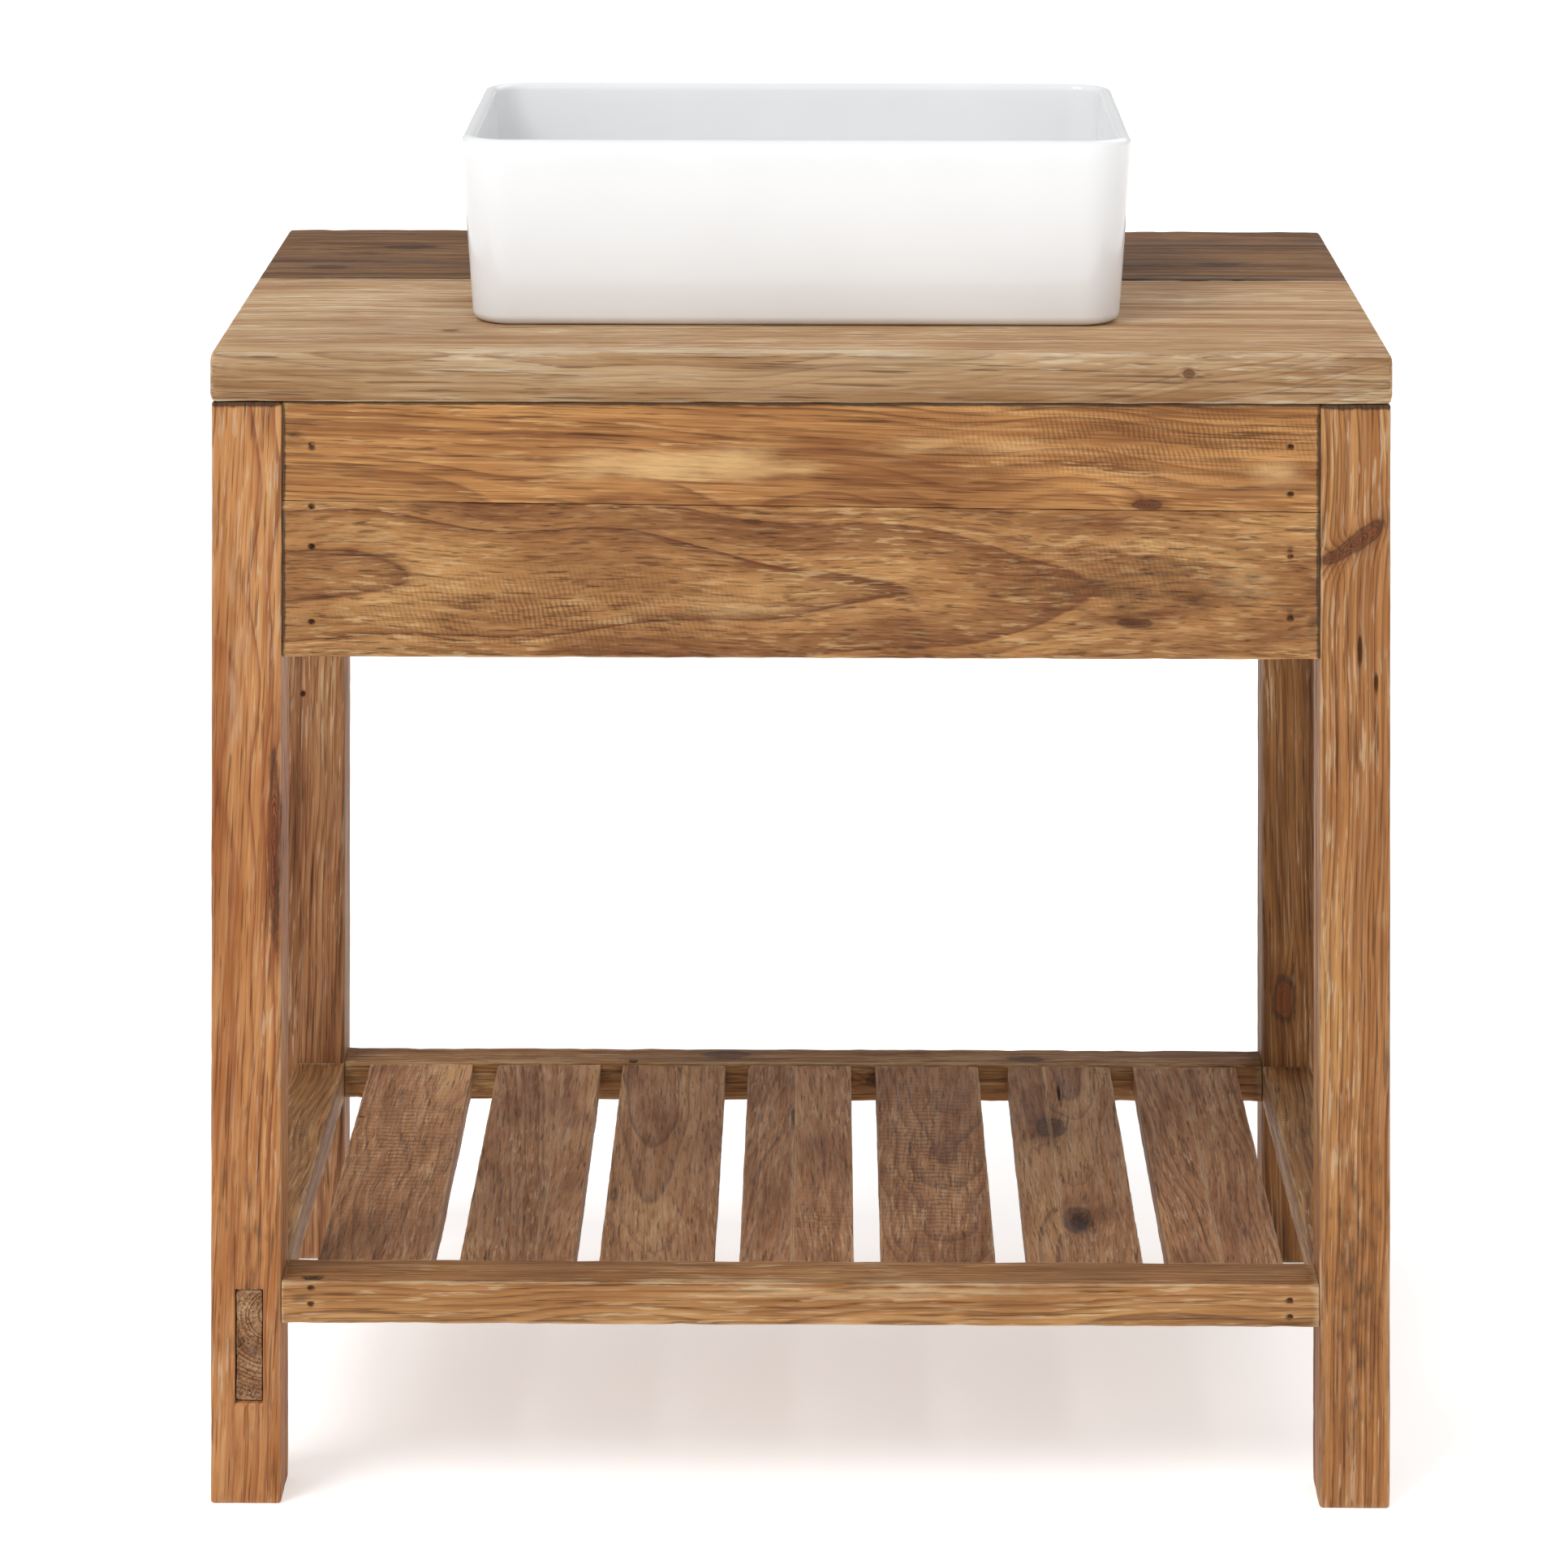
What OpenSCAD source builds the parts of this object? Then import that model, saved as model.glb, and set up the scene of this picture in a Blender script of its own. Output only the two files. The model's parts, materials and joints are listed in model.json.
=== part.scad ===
// Open washstand in reclaimed pine: a two-board top on four square legs, boarded
// aprons, a slatted lower shelf, and a ceramic vessel basin with a push-down waste.
// Origin: middle of the footprint, on the floor. X right, Y to the back, Z up.

/* [Overall] */
// Width of the top
top_w = 800; // [680:10:1200]
// Depth of the top, front to back
top_d = 500; // [420:10:620]
// Height of the top's upper face above the floor
top_h = 780; // [650:5:950]

/* [Top] */
// Thickness of the top boards
top_t = 34; // [26:1:45]
// Depth of the front board of the two
front_board_d = 281; // [230:1:340]
// Rounding of the top's outer edges
top_edge_r = 4; // [1:0.5:8]

/* [Legs] */
// Side of the square leg
leg = 48; // [40:1:60]
// Setback of the legs from the top's front and sides
leg_in = 1; // [0:0.5:20]
// Setback of the legs from the top's back edge
leg_in_back = 7; // [0:0.5:30]
// Rounding of the legs' long edges
leg_edge_r = 3; // [1:0.5:6]
// Width of the filled mortise in the front left leg
plug_w = 18; // [12:0.5:22]
// Height of the filled mortise
plug_h = 75; // [40:1:90]
// Height of the mortise's lower end above the floor
plug_z = 69; // [40:1:80]
// Depth of the mortise
plug_d = 12; // [8:1:13]
// How far the plug sits below the leg's face
plug_sunk = 3; // [0:0.5:4]

/* [Aprons] */
// Height of the front and side aprons
apron_h = 173; // [150:1:220]
// Thickness of the apron boards
apron_t = 22; // [18:1:24]
// Setback of the aprons from the legs' outer faces
apron_in = 1; // [0:0.5:5]
// Height of the lower front board at its left end
seam_left = 106; // [85:1:112]
// Height of the lower front board at its right end
seam_right = 100; // [85:1:112]
// Height of the lower side boards
seam_side = 96; // [85:1:112]
// Height of the upper back rail
back_apron_h = 90; // [60:1:140]
// Side of the square cleats that carry the top
cleat = 25; // [20:1:30]

/* [Shelf] */
// Height of the shelf rails' upper face above the floor
shelf_z = 151; // [120:1:300]
// Height of the shelf rails
rail_h = 29; // [26:1:40]
// Depth of the front shelf rail
rail_front_d = 40; // [30:1:40]
// Depth of the back shelf rail
rail_back_d = 34; // [30:1:40]
// Width of the side shelf rails
rail_side_w = 38; // [30:1:39]
// Width of one slat
slat_w = 79; // [60:0.5:80]
// Thickness of the slats
slat_t = 19; // [15:1:22]
// How far the slats lie below the rails' upper face
slat_drop = 1.5; // [0:0.5:4]
// Length of the stub tenon at each slat end
tenon = 12; // [8:1:15]
// Thickness of the stub tenon
tenon_t = 9; // [7:1:11]

/* [Basin] */
// Width of the basin over its rim
basin_w = 470; // [380:5:560]
// Depth of the basin over its rim
basin_d = 298; // [260:2:360]
// Height of the basin
basin_h = 130; // [90:1:160]
// How much each side leans in from rim to foot
basin_lean = 8.5; // [0:0.5:20]
// Corner radius of the rim, seen from above
basin_corner_r = 34; // [25:1:60]
// Wall thickness at the rim
basin_wall = 10; // [8:0.5:14]
// Thickness of the basin's floor beside the waste
basin_floor = 14; // [12:0.5:18]
// Distance of the basin's middle from the top's front edge
basin_from_front = 239; // [200:1:260]
// Sideways offset of the basin from the top's middle
basin_x = -4; // [-60:1:60]

/* [Waste] */
// Outer radius of the threaded tail, for a G 1 1/4 trap
tail_r = 20.95; // [20:0.05:24]
// Bore radius of the tail
tail_bore_r = 18; // [15:0.5:18.5]
// Length of thread that stands free below the nut
tail_free = 22; // [15:1:40]
// Width of the relief groove between the nut and the free thread
relief = 1.5; // [1:0.5:3]
// Radius of the hole through the basin and the top
waste_hole_r = 22.5; // [22:0.5:26]
// Radius of the waste's flange
flange_r = 32; // [30:0.5:36]
// Thickness of the flange
flange_t = 3; // [2:0.5:4]
// Travel of the plug, shut to open
plug_travel = 9; // [6:0.5:12]

/* [Clearances] */
// Play round a tenon in its mortise
tenon_play = 0.2; // [0.1:0.1:0.5]
// Radial running clearance of the plug's stem
stem_clear = 0.05; // [0.02:0.01:0.1]
// Gap left under the plug's ring when shut
shut_gap = 0.3; // [0.1:0.1:0.5]

/* [Hidden] */
$fn = 48;
eps = 0.5;

// Heights
under_top = top_h - top_t;
apron_z = under_top - apron_h;
rail_z = shelf_z - rail_h;
slat_top = shelf_z - slat_drop;

// Outer faces of the legs, and the clear openings between them
leg_x = top_w / 2 - leg_in;
leg_y0 = -top_d / 2 + leg_in;
leg_y1 = top_d / 2 - leg_in_back;
open_x = leg_x - leg;
open_y0 = leg_y0 + leg;
open_y1 = leg_y1 - leg;
span_x = 2 * open_x;
span_y = open_y1 - open_y0;

// Front faces of the front pieces and back faces of the back pieces
face_y0 = leg_y0 + apron_in;
face_y1 = leg_y1 - apron_in;
apron_x = leg_x - apron_in;
// The back shelf rail stands a little behind the front faces of the back legs
rail_setback = 2;
rail_y0 = face_y0;
rail_y1 = open_y1 + rail_setback;
seam_y = -top_d / 2 + front_board_d;

// Slats: even pitch with the small shifts of hand-laid boards
slats = 7;
slat_gap = (span_x - slats * slat_w) / (slats + 1);
slat_pitch = slat_w + slat_gap;
slat_shift = [1, 1, -1, -2.5, -3, 0, -1.5];
slat_front = rail_y0 + rail_front_d;
slat_back = rail_y1;
tenon_shoulder = 10;
tenon_w = slat_w - 2 * tenon_shoulder;
function slat_x(i) = (i - (slats - 1) / 2) * slat_pitch + slat_shift[i];

// Where the glued slats are jointed, as a share of the slat's width
joint_2 = 0.66;
joint_4 = 0.46;
joint_6 = 0.34;
joint_7 = 0.47;

// Brads: shank radius, length, slant in plan, depth of the sunk head
brad_r = 0.8;
brad_l = 34;
brad_slant = 50;
brad_sunk = 1.2;
brad_from_end = 20;
apron_brads_left = [24, 75, 102, 144];
apron_brads_right = [28, 70, 112, 144];
rail_brads_left = [13, 24];
rail_brads_right = [7, 18];

// Dowels: radius, length, distance from a rail's edge, heights of the ones in the aprons
dowel_r = 4;
dowel_l = 34;
dowel_edge = 10;
apron_dowels_up = [48, 128];
back_dowels_up = [28, 64];

// Screws: shank and head radius, head height, lengths
screw_r = 2;
screw_head_r = 4;
screw_head_h = 2.6;
slot_l = 4.8;
slot_w = 1;
slot_t = 1.6;
top_screw_l = cleat + top_t * 0.6;
side_screw_l = cleat + apron_t * 0.6;
screw_from_end = 66;

// Nail standing in the back rail's upper edge, just beside the third slat's tenon
nail_r = 1.6;
nail_gap = 0.3;
nail_x = slat_x(2) - tenon_w / 2 - nail_r - nail_gap;
nail_head_r = 3.2;
nail_l = 24;

// Basin levels and rings, measured from the top's upper face
basin_y = -top_d / 2 + basin_from_front;
foot_r = 7;
bowl_r = 26;
rim_r = basin_wall / 2;
floor_fall = 4;
foot_hollow = 3;
foot_rim = 24;
foot_hollow_r = 12;
waste_pad_r = 36;
corner_steps = 8;
recess_r = flange_r + 1.5;
recess_t = flange_t + 1;
seat_t = basin_floor - recess_t;

// Waste levels, from the top's upper face
flange_seal_t = 1;
flange_z = seat_t + flange_seal_t;
flange_top = flange_z + flange_t;
seal_t = 4;
washer_t = 2;
nut_t = 10;
nut_z = -top_t - seal_t - washer_t - nut_t;
tail_z = nut_z - relief - tail_free;
relief_r = tail_r - 0.7;
nut_across = 54;
washer_r = 30;
bridge_z = -16;
bridge_t = 4;
bridge_rib = 5;
cartridge_r = 7;
stem_r = 3;
stem_z = bridge_z + bridge_t + 3;
cartridge_top = flange_top - 4;
cap_r = 30;
cap_t = 3;
cap_dome = 4;
ring_r = 24;
ring_t = 2.5;
cap_z = flange_top + shut_gap + ring_t;

// ---------- shared shapes ----------

// Rectangle with round corners, from its lower left corner
module soft_rect(w, h, r) {
  translate([r, 0]) square([w - 2 * r, h]);
  translate([0, r]) square([w, h - 2 * r]);
  for (x = [r, w - r], y = [r, h - r])
    translate([x, y]) circle(r);
}

// Boards with their long edges eased, from corner p with size s
module board_x(p, s, r) {
  translate(p) rotate([90, 0, 90]) linear_extrude(s[0]) soft_rect(s[1], s[2], r);
}

module board_y(p, s, r) {
  translate([p[0], p[1] + s[1], p[2]]) rotate([90, 0, 0]) linear_extrude(s[1]) soft_rect(s[0], s[2], r);
}

module board_z(p, s, r) {
  translate(p) linear_extrude(s[2]) soft_rect(s[0], s[1], r);
}

// Dowel lying along X or along Y, centred on a joint face
module dowel_x(x, y, z) {
  translate([x - dowel_l / 2, y, z]) rotate([0, 90, 0]) cylinder(h = dowel_l, r = dowel_r);
}

module dowel_y(x, y, z) {
  translate([x, y + dowel_l / 2, z]) rotate([90, 0, 0]) cylinder(h = dowel_l, r = dowel_r);
}

// Brad driven from a front face at a slant towards the leg on side s
module brad(s, face_y, z, extra) {
  slant = [0, s * brad_slant, 0];
  translate([s * (open_x - brad_from_end), face_y, z])
    rotate([-90, 0, 0]) rotate(slant)
      translate([0, 0, brad_sunk - extra]) cylinder(h = brad_l + extra, r = brad_r);
}

// Countersunk wood screw along +Z, head at the origin
module screw_blank(l) {
  cylinder(h = screw_head_h, r1 = screw_head_r, r2 = screw_r);
  cylinder(h = l, r = screw_r);
}

// One screw, or the plain seat it leaves in the wood
module screw_or_seat(l, seat) {
  if (seat) screw_blank(l);
  else screw(l);
}

module screw(l) {
  difference() {
    screw_blank(l);
    for (a = [0, 90])
      rotate(a) translate([-slot_l / 2, -slot_w / 2, -eps]) cube([slot_l, slot_w, slot_t + eps]);
  }
}

// ---------- fastener places ----------

module each_apron_brad(extra) {
  for (z = apron_brads_left) brad(-1, face_y0, apron_z + z, extra);
  for (z = apron_brads_right) brad(1, face_y0, apron_z + z, extra);
}

module each_shelf_brad(extra) {
  for (z = rail_brads_left) brad(-1, rail_y0, rail_z + z, extra);
  for (z = rail_brads_right) brad(1, rail_y0, rail_z + z, extra);
}

module each_apron_dowel() {
  for (s = [-1, 1]) {
    for (up = apron_dowels_up) {
      dowel_x(s * open_x, face_y0 + apron_t / 2, apron_z + up);
      for (y = [open_y0, open_y1]) dowel_y(s * (apron_x - apron_t / 2), y, apron_z + up);
    }
    for (up = back_dowels_up)
      dowel_x(s * open_x, face_y1 - apron_t / 2, under_top - back_apron_h + up);
  }
}

// The front rail's dowels sit near its back face, clear of the brads; those of the
// side rails sit near the outside, clear of the others
module each_shelf_dowel() {
  mid_z = rail_z + rail_h / 2;
  for (s = [-1, 1]) {
    dowel_x(s * open_x, rail_y0 + rail_front_d - dowel_edge, mid_z);
    dowel_x(s * open_x, rail_y1 + rail_back_d / 2, mid_z);
    for (y = [open_y0, open_y1])
      dowel_y(s * (open_x + rail_side_w - dowel_edge), y, mid_z);
  }
}

// Screw seats on the four cleats: up into the top, and outwards into the aprons
module each_top_screw(seat) {
  for (s = [-1, 1]) {
    for (y = [open_y0 + screw_from_end, open_y1 - screw_from_end])
      translate([s * (apron_x - apron_t - cleat / 2), y, under_top - cleat])
        screw_or_seat(top_screw_l, seat);
    for (y = [face_y0 + apron_t + cleat / 2, face_y1 - apron_t - cleat / 2])
      translate([s * (open_x - screw_from_end), y, under_top - cleat])
        screw_or_seat(top_screw_l, seat);
  }
}

module each_cleat_screw(seat) {
  mid_z = under_top - cleat / 2;
  for (x = [-1, 1] * (open_x - screw_from_end / 2)) {
    translate([x, face_y0 + apron_t + cleat, mid_z])
      rotate([90, 0, 0]) screw_or_seat(side_screw_l, seat);
    translate([x, face_y1 - apron_t - cleat, mid_z])
      rotate([-90, 0, 0]) screw_or_seat(side_screw_l, seat);
  }
  for (y = [open_y0 + screw_from_end / 2, open_y1 - screw_from_end / 2]) {
    translate([apron_x - apron_t - cleat, y, mid_z])
      rotate([0, 90, 0]) screw_or_seat(side_screw_l, seat);
    translate([cleat + apron_t - apron_x, y, mid_z])
      rotate([0, -90, 0]) screw_or_seat(side_screw_l, seat);
  }
}

module waste_hole() {
  translate([basin_x, basin_y, under_top - eps]) cylinder(h = top_t + 2 * eps, r = waste_hole_r);
}

// ---------- top ----------

// The whole top, eased on every outer edge
module top_blank() {
  w = top_w;
  intersection() {
    board_x([-w / 2, -top_d / 2, under_top], [w, top_d, top_t], top_edge_r);
    board_z([-w / 2, -top_d / 2, under_top], [w, top_d, top_t], top_edge_r);
  }
}

module top_board(y0, y1) {
  difference() {
    intersection() {
      top_blank();
      translate([-top_w / 2 - 1, y0, under_top - 1]) cube([top_w + 2, y1 - y0, top_t + 2]);
    }
    waste_hole();
    each_top_screw(true);
  }
}

module top_board_front() {
  color("burlywood") top_board(-top_d / 2 - 1, seam_y);
}

module top_board_back() {
  color("tan") top_board(seam_y, top_d / 2 + 1);
}

// ---------- legs ----------

module leg_at(x, y) {
  difference() {
    board_z([x, y, 0], [leg, leg, under_top], leg_edge_r);
    each_apron_brad(0);
    each_shelf_brad(0);
    each_apron_dowel();
    each_shelf_dowel();
  }
}

module mortise(depth, grow) {
  translate([-leg_x + (leg - plug_w) / 2 + 2 - grow, leg_y0 - eps, plug_z - grow])
    cube([plug_w + 2 * grow, depth + eps, plug_h + 2 * grow]);
}

module leg_front_left() {
  color("peru") difference() {
    leg_at(-leg_x, leg_y0);
    mortise(plug_d, 0);
  }
}

module leg_front_right() {
  color("peru") leg_at(open_x, leg_y0);
}

module leg_back_left() {
  color("peru") leg_at(-leg_x, open_y1);
}

module leg_back_right() {
  color("peru") leg_at(open_x, open_y1);
}

module mortise_plug() {
  color("sienna") difference() {
    mortise(plug_d, 0);
    mortise(plug_sunk, 1);
  }
}

// ---------- aprons and cleats ----------

// Front apron outline above or below the slanting seam
module apron_front_board(low) {
  h0 = low ? 0 : seam_left;
  h1 = low ? 0 : seam_right;
  k0 = low ? seam_left : apron_h;
  k1 = low ? seam_right : apron_h;
  difference() {
    translate([0, face_y0 + apron_t, apron_z]) rotate([90, 0, 0]) linear_extrude(apron_t)
      polygon([[-open_x, h0], [open_x, h1], [open_x, k1], [-open_x, k0]]);
    each_apron_brad(brad_sunk + eps);
    each_apron_dowel();
    each_cleat_screw(true);
  }
}

module apron_front_upper() {
  color("peru") apron_front_board(false);
}

module apron_front_lower() {
  color("sienna") apron_front_board(true);
}

module apron_side_board(s, low) {
  z0 = low ? apron_z : apron_z + seam_side;
  h = low ? seam_side : apron_h - seam_side;
  x0 = s < 0 ? -apron_x : apron_x - apron_t;
  difference() {
    translate([x0, open_y0, z0]) cube([apron_t, span_y, h]);
    each_apron_dowel();
    each_cleat_screw(true);
  }
}

module apron_left_upper() {
  color("peru") apron_side_board(-1, false);
}

module apron_left_lower() {
  color("sienna") apron_side_board(-1, true);
}

module apron_right_upper() {
  color("peru") apron_side_board(1, false);
}

module apron_right_lower() {
  color("sienna") apron_side_board(1, true);
}

module back_rail_upper() {
  color("peru") difference() {
    board_x([-open_x, face_y1 - apron_t, under_top - back_apron_h], [span_x, apron_t, back_apron_h], 2);
    each_apron_dowel();
    each_cleat_screw(true);
  }
}

module cleat_bored() {
  difference() {
    children();
    each_top_screw(true);
    each_cleat_screw(true);
  }
}

module cleat_front() {
  color("wheat") cleat_bored()
    translate([-open_x, face_y0 + apron_t, under_top - cleat]) cube([span_x, cleat, cleat]);
}

module cleat_back() {
  color("wheat") cleat_bored()
    translate([-open_x, face_y1 - apron_t - cleat, under_top - cleat]) cube([span_x, cleat, cleat]);
}

module cleat_side(x) {
  color("wheat") cleat_bored()
    translate([x, open_y0 + cleat, under_top - cleat]) cube([cleat, span_y - 2 * cleat, cleat]);
}

module cleat_left() {
  cleat_side(apron_t - apron_x);
}

module cleat_right() {
  cleat_side(apron_x - apron_t - cleat);
}

// ---------- shelf ----------

// Mortises for the slats' stub tenons
module slat_mortises() {
  for (i = [0 : slats - 1])
    translate([slat_x(i) - tenon_w / 2 - tenon_play, slat_front - tenon - tenon_play,
               slat_top - (slat_t + tenon_t) / 2 - tenon_play])
      cube([tenon_w + 2 * tenon_play, slat_back - slat_front + 2 * (tenon + tenon_play),
            tenon_t + 2 * tenon_play]);
}

module shelf_rail_front() {
  color("peru") difference() {
    board_x([-open_x, rail_y0, rail_z], [span_x, rail_front_d, rail_h], 3);
    slat_mortises();
    each_shelf_brad(brad_sunk + eps);
    each_shelf_dowel();
  }
}

module shelf_rail_back() {
  color("peru") difference() {
    board_x([-open_x, rail_y1, rail_z], [span_x, rail_back_d, rail_h], 3);
    slat_mortises();
    each_shelf_dowel();
    nail_shape();
  }
}

module shelf_rail_side(x) {
  color("peru") difference() {
    board_y([x, open_y0, rail_z], [rail_side_w, span_y, rail_h], 2.5);
    each_shelf_dowel();
  }
}

module shelf_rail_left() {
  shelf_rail_side(-open_x - rail_side_w);
}

module shelf_rail_right() {
  shelf_rail_side(open_x);
}

// One slat with its tenons, cut to the strip from share a to share b of its width
module slat(i, a, b) {
  x0 = slat_x(i) - slat_w / 2;
  color("rosybrown") intersection() {
    union() {
      board_y([x0, slat_front, slat_top - slat_t], [slat_w, slat_back - slat_front, slat_t], 2);
      translate([slat_x(i) - tenon_w / 2, slat_front - tenon, slat_top - (slat_t + tenon_t) / 2])
        cube([tenon_w, slat_back - slat_front + 2 * tenon, tenon_t]);
    }
    translate([x0 + a * slat_w - (a == 0 ? 1 : 0), -top_d, 0])
      cube([(b - a) * slat_w + (a == 0 ? 1 : 0) + (b == 1 ? 1 : 0), 2 * top_d, shelf_z]);
  }
}

module slat_1() { slat(0, 0, 1); }
module slat_2_left() { slat(1, 0, joint_2); }
module slat_2_right() { slat(1, joint_2, 1); }
module slat_3() { slat(2, 0, 1); }
module slat_4_left() { slat(3, 0, joint_4); }
module slat_4_right() { slat(3, joint_4, 1); }
module slat_5() { slat(4, 0, 1); }
module slat_6_left() { slat(5, 0, joint_6); }
module slat_6_right() { slat(5, joint_6, 1); }
module slat_7_left() { slat(6, 0, joint_7); }
module slat_7_right() { slat(6, joint_7, 1); }

// ---------- fasteners ----------

module apron_brads() {
  color("dimgray") each_apron_brad(0);
}

module shelf_brads() {
  color("dimgray") each_shelf_brad(0);
}

module apron_dowels() {
  color("wheat") each_apron_dowel();
}

module shelf_dowels() {
  color("wheat") each_shelf_dowel();
}

module top_screws() {
  color("silver") each_top_screw(false);
}

module cleat_screws() {
  color("silver") each_cleat_screw(false);
}

// Old nail whose round head stands on the back rail, over a plain shank
module nail_shape() {
  translate([nail_x, rail_y1 + nail_head_r + 1, shelf_z]) {
    translate([0, 0, -nail_l]) cylinder(h = nail_l, r = nail_r);
    intersection() {
      translate([0, 0, -2 * nail_head_r]) sphere(2.4 * nail_head_r);
      cylinder(h = 2 * nail_head_r, r = nail_head_r);
    }
  }
}

module rail_nail() {
  color("dimgray") nail_shape();
}

// ---------- basin ----------

// The basin's shell is one closed surface: round-cornered rectangles, ring by ring,
// from the foot up over the rolled rim and down to the middle of the floor.
// A ring is [inset from the rim's rectangle, corner radius, height].
side_k = basin_lean + basin_wall;
inner_r = basin_corner_r - basin_wall;
floor_z = basin_floor + floor_fall;
centre_r = recess_r - 3;
arc_45 = 0.293;
arc_22 = 0.076;
arc_67 = 0.617;

function lean_at(z) = basin_lean * (1 - z / basin_h);

function foot_ring(in, up) = [
  lean_at(foot_r) + foot_r * in,
  basin_corner_r - basin_lean / 2 - foot_r * in,
  foot_r * up
];

function rim_ring(in, down) = [
  rim_r * in,
  basin_corner_r - rim_r * in,
  basin_h - rim_r * down
];

function cove_ring(in, up) = [
  side_k - basin_lean * bowl_r / basin_h + bowl_r * in,
  inner_r * (1 - in / 2),
  floor_z + bowl_r * up
];

basin_rings = [
  foot_ring(1, 0), foot_ring(arc_67, arc_22), foot_ring(arc_45, arc_45),
  foot_ring(arc_22, arc_67), foot_ring(0, 1),
  rim_ring(0, 1), rim_ring(arc_22, arc_67), rim_ring(arc_45, arc_45),
  rim_ring(arc_67, arc_22), rim_ring(1, 0), rim_ring(2 - arc_67, arc_22),
  rim_ring(2 - arc_45, arc_45), rim_ring(2 - arc_22, arc_67), rim_ring(2, 1),
  cove_ring(0, 1), cove_ring(arc_22, arc_67), cove_ring(arc_45, arc_45),
  cove_ring(arc_67, arc_22), cove_ring(1, 0),
  [basin_w / 2 - centre_r, centre_r - 1, basin_floor]
];

// Points of one ring: four corner arcs of corner_steps chords each
ring_n = 4 * (corner_steps + 1);

function ring_point(ring, half_w, half_d, q, i) =
  let (
    turn = 90 * q + 90 * i / corner_steps,
    sx = q == 0 || q == 3 ? 1 : -1,
    sy = q < 2 ? 1 : -1
  )
  [
    sx * (half_w - ring[1]) + ring[1] * cos(turn),
    sy * (half_d - ring[1]) + ring[1] * sin(turn),
    ring[2]
  ];

function ring_points(ring) =
  let (
    half_w = basin_w / 2 - ring[0],
    half_d = ring[0] < basin_w / 4 ? basin_d / 2 - ring[0] : half_w
  )
  [for (q = [0:3], i = [0:corner_steps]) ring_point(ring, half_w, half_d, q, i)];

module basin_shell() {
  last = len(basin_rings) - 1;
  points = [for (ring = basin_rings) each ring_points(ring)];
  sides = [
    for (k = [0:last - 1], i = [0:ring_n - 1])
      let (j = (i + 1) % ring_n)
      [k * ring_n + i, (k + 1) * ring_n + i, (k + 1) * ring_n + j, k * ring_n + j]
  ];
  bottom = [for (i = [0:ring_n - 1]) i];
  middle = [for (i = [ring_n - 1:-1:0]) last * ring_n + i];
  polyhedron(points = points, faces = concat([bottom, middle], sides), convexity = 6);
}

module basin() {
  color("white") translate([basin_x, basin_y, top_h]) difference() {
    basin_shell();
    translate([0, 0, seat_t]) cylinder(h = basin_h, r = recess_r);
    translate([0, 0, -eps]) cylinder(h = basin_h, r = waste_hole_r);
    foot_recess();
  }
}

// Shallow hollow under the basin, leaving a foot rim and a pad round the waste
module foot_recess() {
  w = basin_w - 2 * (basin_lean + foot_rim);
  d = basin_d - 2 * (basin_lean + foot_rim);
  difference() {
    translate([-w / 2, -d / 2, -eps]) linear_extrude(foot_hollow + eps) soft_rect(w, d, foot_hollow_r);
    translate([0, 0, -1]) cylinder(h = foot_hollow + 2, r = waste_pad_r);
  }
}

// ---------- waste ----------

module at_waste() {
  translate([basin_x, basin_y, top_h]) children();
}

// Flange, threaded tail and the four-armed bridge that holds the cartridge
module waste_body() {
  color("silver") at_waste() {
    difference() {
      union() {
        translate([0, 0, flange_z]) cylinder(h = flange_t, r = flange_r);
        translate([0, 0, tail_z]) cylinder(h = flange_z - tail_z + eps, r = tail_r);
      }
      translate([0, 0, tail_z - 1]) cylinder(h = flange_top - tail_z + 2, r = tail_bore_r);
      translate([0, 0, nut_z - relief]) difference() {
        cylinder(h = relief, r = tail_r + 1);
        translate([0, 0, -1]) cylinder(h = relief + 2, r = relief_r);
      }
      translate([0, 0, flange_z])
        cylinder(h = flange_t + 1, r1 = tail_bore_r, r2 = tail_bore_r + flange_t + 1);
    }
    difference() {
      intersection() {
        for (a = [0, 90])
          rotate(a)
            translate([-tail_r, -bridge_rib / 2, bridge_z]) cube([2 * tail_r, bridge_rib, bridge_t]);
        translate([0, 0, bridge_z]) cylinder(h = bridge_t, r = tail_bore_r + 1);
      }
      translate([0, 0, bridge_z - 1]) cylinder(h = bridge_t + 2, r = cartridge_r - 2);
    }
    difference() {
      translate([0, 0, bridge_z]) cylinder(h = bridge_t, r = cartridge_r);
      translate([0, 0, bridge_z - 1]) cylinder(h = bridge_t + 2, r = cartridge_r - 2);
    }
  }
}

// Push-latch cartridge: its spigot goes through the bridge, its bore guides the stem
module waste_cartridge() {
  color("gold") at_waste() difference() {
    union() {
      translate([0, 0, bridge_z - 4]) cylinder(h = bridge_t + 5, r = cartridge_r - 2);
      translate([0, 0, bridge_z + bridge_t])
        cylinder(h = cartridge_top - bridge_z - bridge_t, r = cartridge_r);
    }
    translate([0, 0, stem_z - 1]) cylinder(h = 60, r = stem_r + stem_clear);
  }
}

// Cap with a low dome, a hub that holds the ring, and the stem
module waste_plug() {
  dome_r = (cap_r * cap_r + cap_dome * cap_dome) / (2 * cap_dome);
  color("silver") at_waste() {
    translate([0, 0, cap_z]) cylinder(h = cap_t, r = cap_r);
    intersection() {
      translate([0, 0, cap_z + cap_t + cap_dome - dome_r]) sphere(dome_r, $fn = 96);
      translate([0, 0, cap_z + cap_t - 0.2]) cylinder(h = cap_dome + 1, r = cap_r);
    }
    translate([0, 0, cap_z - ring_t]) cylinder(h = ring_t + 1, r = ring_r - 4);
    translate([0, 0, stem_z]) cylinder(h = cap_z - stem_z + 1, r = stem_r);
  }
}

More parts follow.
